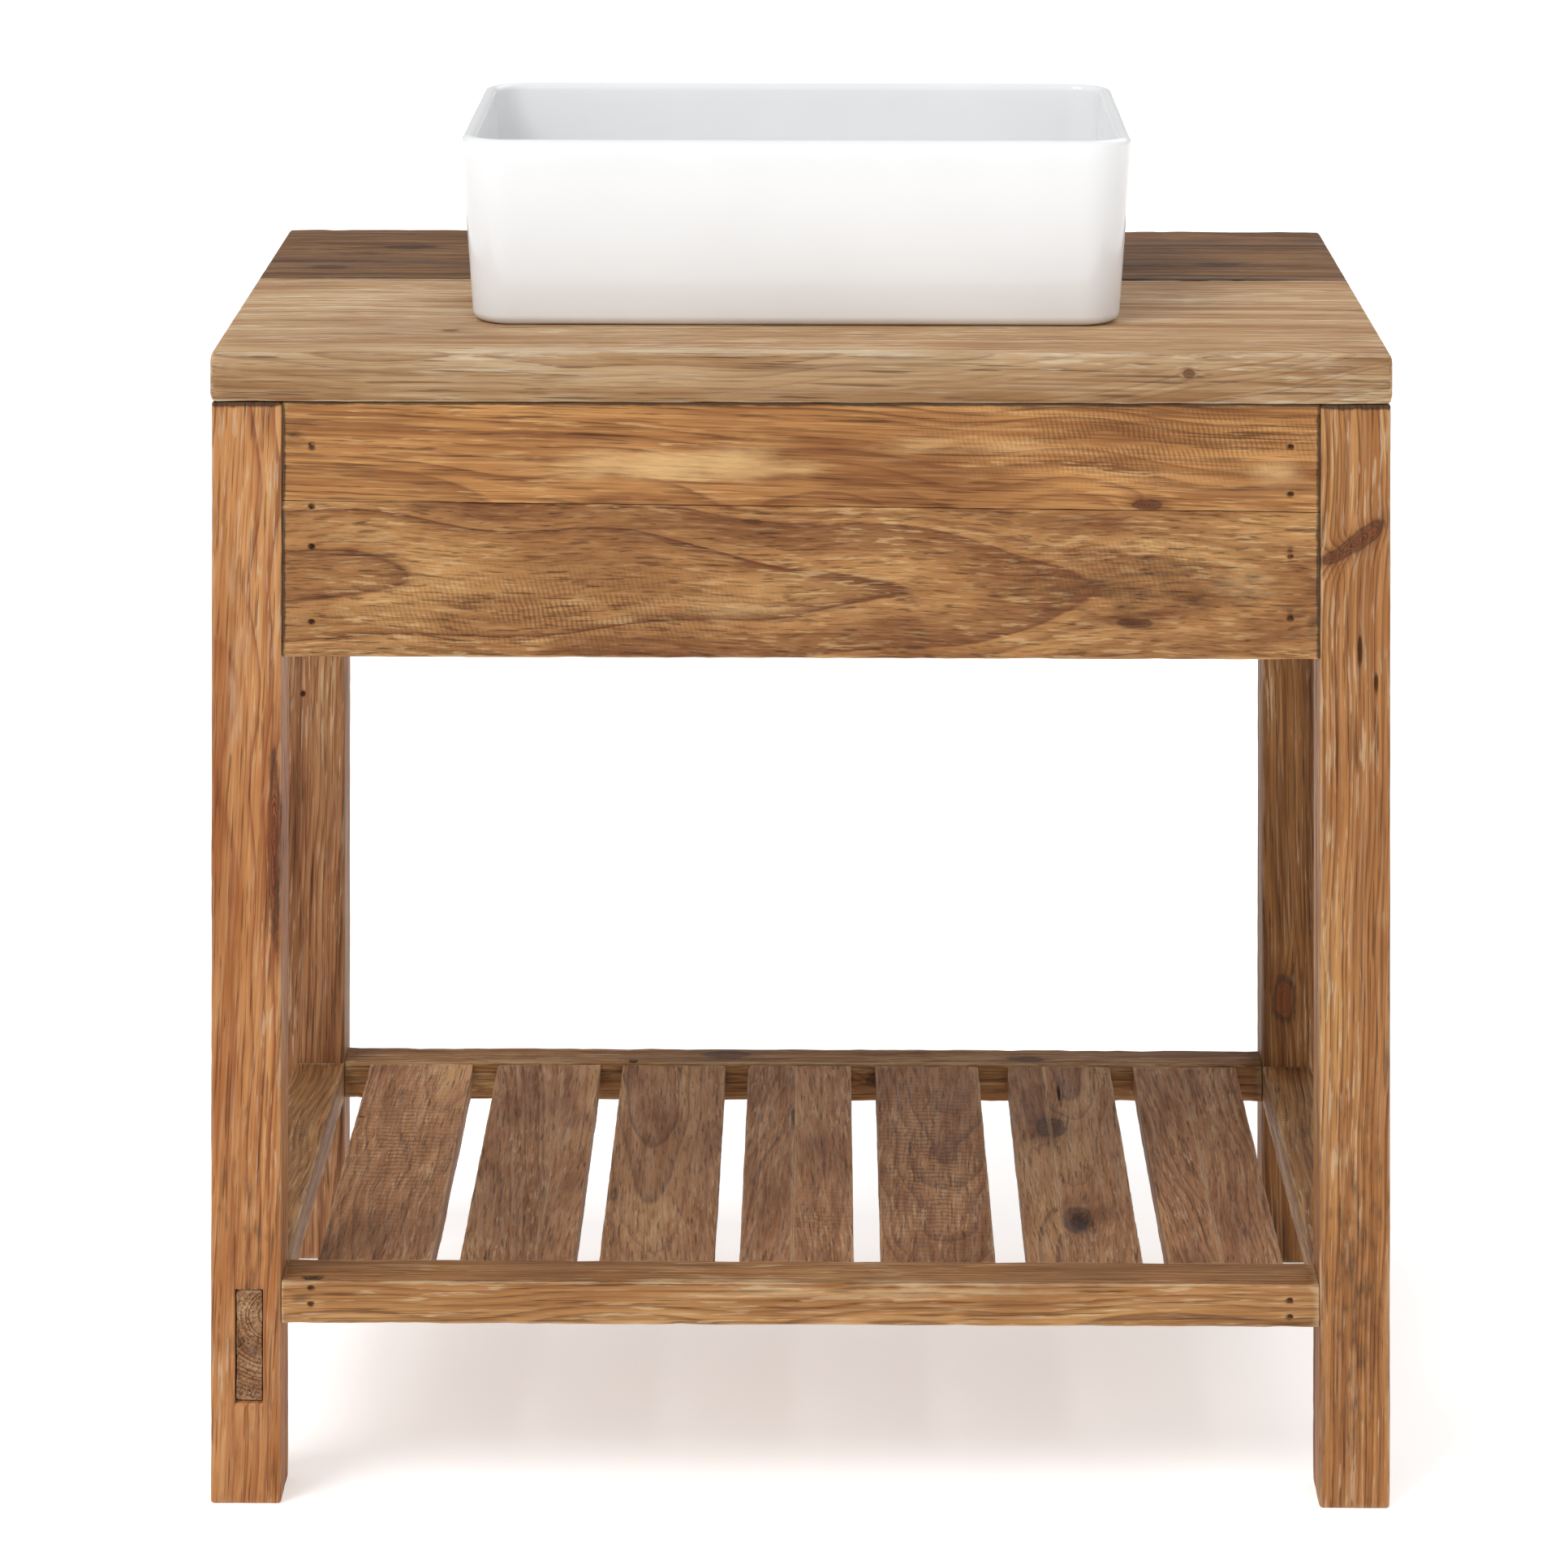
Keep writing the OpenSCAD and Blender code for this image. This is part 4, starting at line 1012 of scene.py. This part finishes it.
foot_in = LEAN * (1 - FOOT_R / basin_h)
cove_in = 2 * RIM_R + LEAN * (1 - (FLOOR_Z + FALL + COVE_R) / basin_h)
low_corner = CORNER - LEAN / 2
quarter = np.radians(np.linspace(0, 90, 8))
PAD_R, HOLLOW_IN, HOLLOW_CORNER = 37, 33, 12
rings = [circle(r, z) for r, z in ((23.4, 0), (35, 0), (35.8, 0.2), (36.2, 1), (PAD_R, HOLLOW))]
rings += [ring(half_w - HOLLOW_IN, half_d - HOLLOW_IN, HOLLOW_CORNER, HOLLOW, s, PAD_R + 60 * (1 - s))
          for s in (0.7, 0.35, 0.1)]
rings += [inset_ring(HOLLOW_IN - i, HOLLOW_CORNER, z)
          for i, z in ((0, HOLLOW), (0.6, 2.6), (0.9, 0.4), (1.4, 0))]
rings += [inset_ring(foot_in + FOOT_R + 2, low_corner - FOOT_R - 1, 0)]
rings += [inset_ring(foot_in + FOOT_R * (1 - math.sin(a)), low_corner - FOOT_R * (1 - math.sin(a)),
                     FOOT_R * (1 - math.cos(a))) for a in quarter]
rings += [inset_ring(foot_in * (1 - t), low_corner + (CORNER - low_corner) * t,
                     FOOT_R + (basin_h - RIM_R - FOOT_R) * t) for t in np.linspace(0, 1, 12)[1:-1]]
rings += [inset_ring(RIM_R * (1 - math.cos(a)), CORNER - RIM_R * (1 - math.cos(a)),
                     basin_h - RIM_R * (1 - math.sin(a))) for a in np.linspace(0, math.pi, 17)]
inner = CORNER - 2 * RIM_R
wall_top, wall_end = basin_h - RIM_R, FLOOR_Z + FALL + COVE_R
rings += [inset_ring(2 * RIM_R + (cove_in - 2 * RIM_R) * t, inner, wall_top + (wall_end - wall_top) * t)
          for t in np.linspace(0, 1, 9)[1:]]
rings += [inset_ring(cove_in + COVE_R * (1 - math.cos(a)), inner * (0.5 + 0.5 * math.cos(a)),
                     wall_end - COVE_R * math.sin(a)) for a in quarter[1:]]
long, deep = half_w - cove_in - COVE_R, half_d - cove_in - COVE_R
for t in np.linspace(0, 1, 11)[1:]:
    rings.append(ring(long + (36 - long) * t, deep + (36 - deep) * t, 12 + 22 * t,
                      FLOOR_Z + FALL * (1 - t), t * t * (3 - 2 * t), RECESS_R + 1.2))
rings += [circle(r, z) for r, z in ((RECESS_R + 0.3, FLOOR_Z - 0.3), (RECESS_R, FLOOR_Z - 1),
                                    (RECESS_R, SEAT_Z + 0.4), (RECESS_R - 0.4, SEAT_Z),
                                    (HOLE_R + 0.8, SEAT_Z), (HOLE_R, SEAT_Z - 0.8),
                                    (HOLE_R, 0.8))]
RIPPLE_SHARE = 0.0006
skin = np.array(rings)
sway = ripple(skin, 5, (240, 240, 160))
skin[..., :2] *= 1 - RIPPLE_SHARE * (1 + sway[..., None])
skin += (basin_mid[0], basin_mid[1], basin_low[2])
basin = make_mesh("basin_glazed", skin * MM, grid_faces(*skin.shape[:2], close_rows=True))
print("basin skin:", skin.shape[0], "rings,", len(basin.data.vertices), "points")

# %% [markdown]
# ## Glaze, metal, rubber and dowels
# Glaze is clear glass over white clay: a smooth bright coat with hardly any texture, and a
# bare ring where the foot stood in the kiln. Metals are told apart by their colour and by
# how evenly they shine. The old brads have rusted. The small CAD parts keep their meshes
# and take these finishes by their slot names.

# %% The basin's glaze
def plain_noise(w, scale, detail=2.0, rough=0.5):
    """Noise in the piece's own coordinates, in metres, the same all along the object."""
    place = w.node("ShaderNodeTexCoord").outputs["Object"]
    return w.noise(w.stretch(place, scale), detail, rough)


mat, w, shader = material("white_glaze")
height = w.split(w.node("ShaderNodeTexCoord").outputs["Object"])[2]
bare = w.ease(height, basin_low[2] * MM + 0.0016, basin_low[2] * MM + 0.0004)
cloud = w.ease(plain_noise(w, (9, 9, 9), 3), 0.3, 0.7)
speck = w.ease(plain_noise(w, (700, 700, 700), 1), 0.76, 0.8)
colour = w.blend(cloud, srgb(225, 226, 227), srgb(228, 229, 230))
colour = w.blend(w.math("MULTIPLY", speck, 0.12), colour, srgb(186, 180, 170))
w.feed(shader.inputs["Base Color"], w.blend(bare, colour, srgb(226, 220, 208)))
w.feed(shader.inputs["Roughness"], w.ease(w.math("MAXIMUM", bare, w.math("MULTIPLY", cloud, 0.06)),
                                          0.0, 1.0, 0.1, 0.8))
ripples = w.node("ShaderNodeBump")
ripples.inputs["Strength"].default_value = 0.12
ripples.inputs["Distance"].default_value = 0.001
w.feed(ripples.inputs["Height"], plain_noise(w, (28, 28, 28), 1))
w.feed(shader.inputs["Normal"], ripples.outputs[0])
fit(basin, "basin", "stand")
print("glaze fitted")

# %% [markdown]
# Chromed brass shines evenly, cast brass is duller, zinc-plated steel is speckled. The brads
# and the rail's nail are plain steel that has rusted in patches.

# %% Metals
def metal(name, bright, dull, low, high, scale=60, rust=None, metallic=1.0):
    """A metal whose colour and polish drift a little, with rust where it is asked for."""
    mat, w, shader = material(name)
    cloud = w.ease(plain_noise(w, (scale,) * 3, 4, 0.6), 0.3, 0.7)
    scratch = plain_noise(w, (scale * 30, scale * 30, scale * 3), 2)
    colour = w.blend(cloud, srgb(*bright), srgb(*dull))
    polish = w.ease(w.math("MULTIPLY_ADD", scratch, 0.3, w.math("MULTIPLY", cloud, 0.7)),
                    0.2, 0.8, low, high)
    if rust:
        rusty = w.ease(plain_noise(w, (scale * 9,) * 3, 3), 0.4, 0.56)
        colour = w.blend(rusty, colour, srgb(*rust))
        w.feed(shader.inputs["Metallic"], w.ease(rusty, 0.0, 1.0, metallic, 0.1))
    else:
        shader.inputs["Metallic"].default_value = metallic
    w.feed(shader.inputs["Base Color"], colour)
    w.feed(shader.inputs["Roughness"], polish)


metal("chrome", (222, 224, 228), (206, 208, 212), 0.06, 0.16, 25)
metal("brass", (214, 184, 112), (178, 146, 84), 0.22, 0.4, 45)
metal("zinc_steel", (190, 192, 194), (148, 150, 152), 0.3, 0.5, 120)
metal("dark_steel", (84, 78, 74), (52, 47, 44), 0.4, 0.65, 220, rust=(86, 50, 30))
print("metals: chrome, brass, zinc steel, dark steel")

# %% [markdown]
# Seals are matt black rubber, the washer is white moulded plastic, and beech dowels show
# short darker flecks.

# %% Rubber, plastic and beech
for name, dark, light, low, high in (("black_rubber", (26, 26, 27), (44, 44, 46), 0.55, 0.75),
                                     ("white_plastic", (216, 216, 212), (236, 236, 233), 0.35, 0.5)):
    mat, w, shader = material(name)
    cloud = w.ease(plain_noise(w, (150, 150, 150), 3), 0.3, 0.7)
    w.feed(shader.inputs["Base Color"], w.blend(cloud, srgb(*dark), srgb(*light)))
    w.feed(shader.inputs["Roughness"], w.ease(cloud, 0.0, 1.0, low, high))
mat, w, shader = material("beech_dowel")
fleck = w.ease(plain_noise(w, (400, 400, 400), 3), 0.42, 0.62)
w.feed(shader.inputs["Base Color"], w.blend(fleck, srgb(206, 168, 122), srgb(178, 134, 90)))
w.feed(shader.inputs["Roughness"], w.ease(fleck, 0.0, 1.0, 0.5, 0.65))
print("finishes:", len(bpy.data.materials))

# %% [markdown]
# ## The waste
# The waste is turned on a lathe, so its shape is one outline spun round an axis. The tail
# carries a pipe thread: there the radius also depends on the height minus a share of the
# turn, which winds a ridge round it like a real screw. A four-armed bridge holds the
# push latch, and the plug with its rubber ring moves up and down as one body.

# %% Spinning an outline round the waste's axis
waste_low, waste_high = (np.array(v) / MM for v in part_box("waste_body"))
WASTE = ((waste_low + waste_high) / 2)[:2]
TURNS = 96


def spin(name, radii, heights, closed):
    """Radius times (cos a, sin a) at each height. radii may be one per row or a whole grid.
    A closed outline makes a ring, an open one gets a small flat face at both ends."""
    a = np.linspace(0, 2 * math.pi, TURNS, endpoint=False)
    radii = np.broadcast_to(np.asarray(radii, float).reshape(len(heights), -1),
                            (len(heights), TURNS))
    points = np.stack([radii * np.cos(a), radii * np.sin(a),
                       np.repeat(np.asarray(heights, float)[:, None], TURNS, 1)], -1)
    points[..., :2] += WASTE
    faces = grid_faces(len(heights), TURNS, close_rows=closed)
    if not closed:
        last = (len(heights) - 1) * TURNS
        faces += [list(range(TURNS))[::-1], list(range(last, last + TURNS))]
    return make_mesh(name, points * MM, faces)


# %% [markdown]
# The plug is turned from brass and chromed: a thin stem, a hub that carries the rubber ring,
# and a cap with a low dome that sheds water. The ring is a moulded lip round the hub.

# %% The plug: stem, hub, cap and a low dome
plug_low, plug_high = (np.array(v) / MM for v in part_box("waste_plug"))
ring_low, ring_high = (np.array(v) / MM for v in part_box("plug_ring"))
CAP_R = (plug_high[0] - plug_low[0]) / 2
RING_R = (ring_high[0] - ring_low[0]) / 2
CAP_T, DOME, STEM_R = 3.0, 4.0, 3.0
dome_r = (CAP_R ** 2 + DOME ** 2) / (2 * DOME)
across = np.linspace(CAP_R - 0.8, 0.5, 14)
profile = [(0.5, plug_low[2]), (STEM_R - 0.5, plug_low[2]), (STEM_R, plug_low[2] + 0.5),
           (STEM_R, ring_low[2]), (RING_R - 4.4, ring_low[2]), (RING_R - 4, ring_low[2] + 0.4),
           (RING_R - 4, ring_high[2]), (CAP_R - 0.5, ring_high[2]), (CAP_R, ring_high[2] + 0.5),
           (CAP_R, ring_high[2] + CAP_T - 0.6), (CAP_R - 0.25, ring_high[2] + CAP_T - 0.1)]
profile += [(r, plug_high[2] - dome_r + math.sqrt(dome_r ** 2 - r * r)) for r in across]
plug = spin("waste_plug_turned", *zip(*profile), closed=False)
fit(plug, "waste_plug", "plug")
seal = [(RING_R - 4, ring_low[2]), (RING_R - 0.8, ring_low[2]), (RING_R - 0.1, ring_low[2] + 0.7),
        (RING_R, ring_low[2] + 1.2), (RING_R - 0.3, ring_high[2] - 0.3), (RING_R - 0.9, ring_high[2]),
        (RING_R - 4, ring_high[2])]
fit(spin("plug_ring_moulded", *zip(*seal), closed=True), "plug_ring", "plug")
print("plug:", round(2 * CAP_R), "mm across, dome radius", round(dome_r, 1), "mm")

# %% [markdown]
# The flange lies in the basin's recess. The tail below it is threaded for the nut and the
# trap, with a plain stretch where the nut sits.

# %% The flange and the threaded tail
TAIL_R, BORE_R, PITCH, THREAD_DEEP = 20.95, 18.0, 2.309, 1.1
THREAD_FADE, NUT_GAP, PLAIN_CUT = 1.2, 1.6, 0.7
nut_low, nut_high = (np.array(v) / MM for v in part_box("waste_nut"))
FLANGE_R = (waste_high[0] - waste_low[0]) / 2
rows = np.arange(waste_low[2], nut_high[2] + 0.01, 0.3)
a = np.linspace(0, 2 * math.pi, TURNS, endpoint=False)
phase = rows[:, None] / PITCH - a[None, :] / (2 * math.pi)
groove = THREAD_DEEP * np.abs(2 * (phase % 1) - 1)
ends = np.clip(np.minimum(rows - waste_low[2], nut_high[2] - rows) / THREAD_FADE, 0, 1)[:, None]
free = (rows < nut_low[2] - NUT_GAP) | (rows > nut_low[2])
thread = np.where(free[:, None], TAIL_R - THREAD_DEEP + (THREAD_DEEP - groove) * ends,
                  TAIL_R - PLAIN_CUT)
flange_z = waste_high[2]
up = [(TAIL_R, flange_z - 3), (FLANGE_R - 0.6, flange_z - 3), (FLANGE_R, flange_z - 2.2),
      (FLANGE_R - 0.4, flange_z - 1), (FLANGE_R - 2, flange_z - 0.15), (FLANGE_R - 4, flange_z),
      (BORE_R + 4.2, flange_z), (BORE_R + 3.6, flange_z - 0.4), (BORE_R, flange_z - 3),
      (BORE_R, waste_low[2])]
radii = np.concatenate([thread, np.repeat([[r] for r, z in up], TURNS, 1)])
tail = spin("waste_tail_threaded", radii, [*rows, *(z for r, z in up)], closed=True)
fit(tail, "waste_body", "stand")
print("thread turns:", round((rows[-1] - rows[0]) / PITCH, 1))

# %% [markdown]
# Water passes between four arms. Their outline is one number per direction: the distance at
# which an arm of that half width ends, or the hub's radius where no arm runs.

# %% The four-armed bridge inside the tail
ARM, HUB_R, SPIGOT_R, BRIDGE_T = 2.5, 7.0, 5.0, 4.0
cartridge_low = np.array(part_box("waste_cartridge")[0]) / MM
bridge_z = cartridge_low[2] + 4
turn = np.abs((a + math.pi / 4) % (math.pi / 2) - math.pi / 4)
edge = np.maximum(HUB_R, np.minimum(BORE_R + 0.4, ARM / np.maximum(np.sin(turn), 0.001)))
hole = np.full(TURNS, SPIGOT_R)
bridge = spin("waste_bridge", np.array([edge, edge, hole, hole]),
              [bridge_z, bridge_z + BRIDGE_T, bridge_z + BRIDGE_T, bridge_z], closed=True)
fit(bridge, "waste_body", "stand")
print("bridge at", round(bridge_z), "mm, hub radius", HUB_R, "mm")

# %% [markdown]
# ## Floor, light and camera
# A plain pale floor and a pale sky give soft light from all round, as in a white studio. The
# floor glows a little, like a lit product table, so that shadows on it stay faint. One wide
# lamp high in front on the left shows the relief of the wood, a weaker one behind on the
# right reaches the far side, and a very wide one stands for a white card in front.

# %% Floor and light
def sheet_of_floor(size):
    """One square face, twice the size across, at height nothing."""
    corners = np.array([[-1, -1, 0], [1, -1, 0], [1, 1, 0], [-1, 1, 0]]) * size
    return make_mesh("floor", corners.astype(float), [[0, 1, 2, 3]])


FLOOR_SIZE = 40
floor = sheet_of_floor(FLOOR_SIZE)
mat, w, shader = material("pale_floor")
w.feed(shader.inputs["Base Color"], w.blend(plain_noise(w, (1.5, 1.5, 1.5), 3),
                                            srgb(244, 244, 244), srgb(247, 247, 247)))
shader.inputs["Roughness"].default_value = 0.9
shader.inputs["Specular IOR Level"].default_value = 0.1
shader.inputs["Emission Color"].default_value = (1, 1, 1, 1)
shader.inputs["Emission Strength"].default_value = 0.42
floor.data.materials.append(mat)

world = bpy.data.worlds.new("white studio")
world.use_nodes = True
world.node_tree.nodes["Background"].inputs["Color"].default_value = (1, 1, 1, 1)
world.node_tree.nodes["Background"].inputs["Strength"].default_value = 0.62
bpy.context.scene.world = world


def soft_sun(name, place, strength, spread):
    """A far lamp so wide that its shadows have no edge, aimed at the stand."""
    lamp = bpy.data.lights.new(name, "SUN")
    lamp.energy = strength
    lamp.angle = math.radians(spread)
    holder = bpy.data.objects.new(name, lamp)
    holder.location = place
    holder.rotation_mode = "QUATERNION"
    holder.rotation_quaternion = Vector(place).to_track_quat("Z", "Y")
    bpy.context.scene.collection.objects.link(holder)


soft_sun("lamp front left", (-2.4, -2.2, 3.8), 1.4, 28)
soft_sun("lamp behind right", (2.4, 3.2, 3.4), 0.5, 40)
soft_sun("card in front", (0.8, -4.5, 1.5), 0.68, 70)
print("lamps placed")

# %% [markdown]
# The camera looks level, straight at the front, from well above the basin, and the stand
# fills the lower part of its view. A shift lens does this: its picture plane stays upright,
# so upright legs stay upright in the picture, while the part of the picture that is kept
# lies far below the lens's middle. A shift that large would follow the camera into every
# other view and push the stand out of them. So here the tripod carries the shift instead:
# the camera's parent slants its viewing axis downwards and leaves its picture plane
# upright. The two give the same picture, and the camera's own settings stay plain.

# %% The camera on its slanting tripod
LENS_AT = np.array([0.0168, -3.6263, 1.4265])
YAW, ROLL, DROP, LENS = 0.0085, 0.0009, 0.2777, 114.69
right = np.array([math.cos(YAW), math.sin(YAW), ROLL])
ahead = np.array([-math.sin(YAW), math.cos(YAW), 0])
upward = np.array([-ROLL, 0, 1.0])
back = DROP * upward - ahead
stretch = np.linalg.norm(back)
slant = np.eye(4)
slant[:3, 0], slant[:3, 1], slant[:3, 2], slant[:3, 3] = right, upward, back / stretch, LENS_AT

lens = bpy.data.cameras.new("camera")
lens.sensor_width = 36
lens.lens = LENS * stretch
lens.clip_end = 100
camera = bpy.data.objects.new("camera", lens)
tripod = bpy.data.objects.new("tripod", None)
for thing in (camera, tripod):
    bpy.context.scene.collection.objects.link(thing)
camera.parent = tripod
camera.matrix_parent_inverse = Matrix(slant.tolist())
bpy.context.scene.camera = camera
bpy.context.scene.view_settings.view_transform = "Standard"
print("lens", round(lens.lens, 1), "mm")
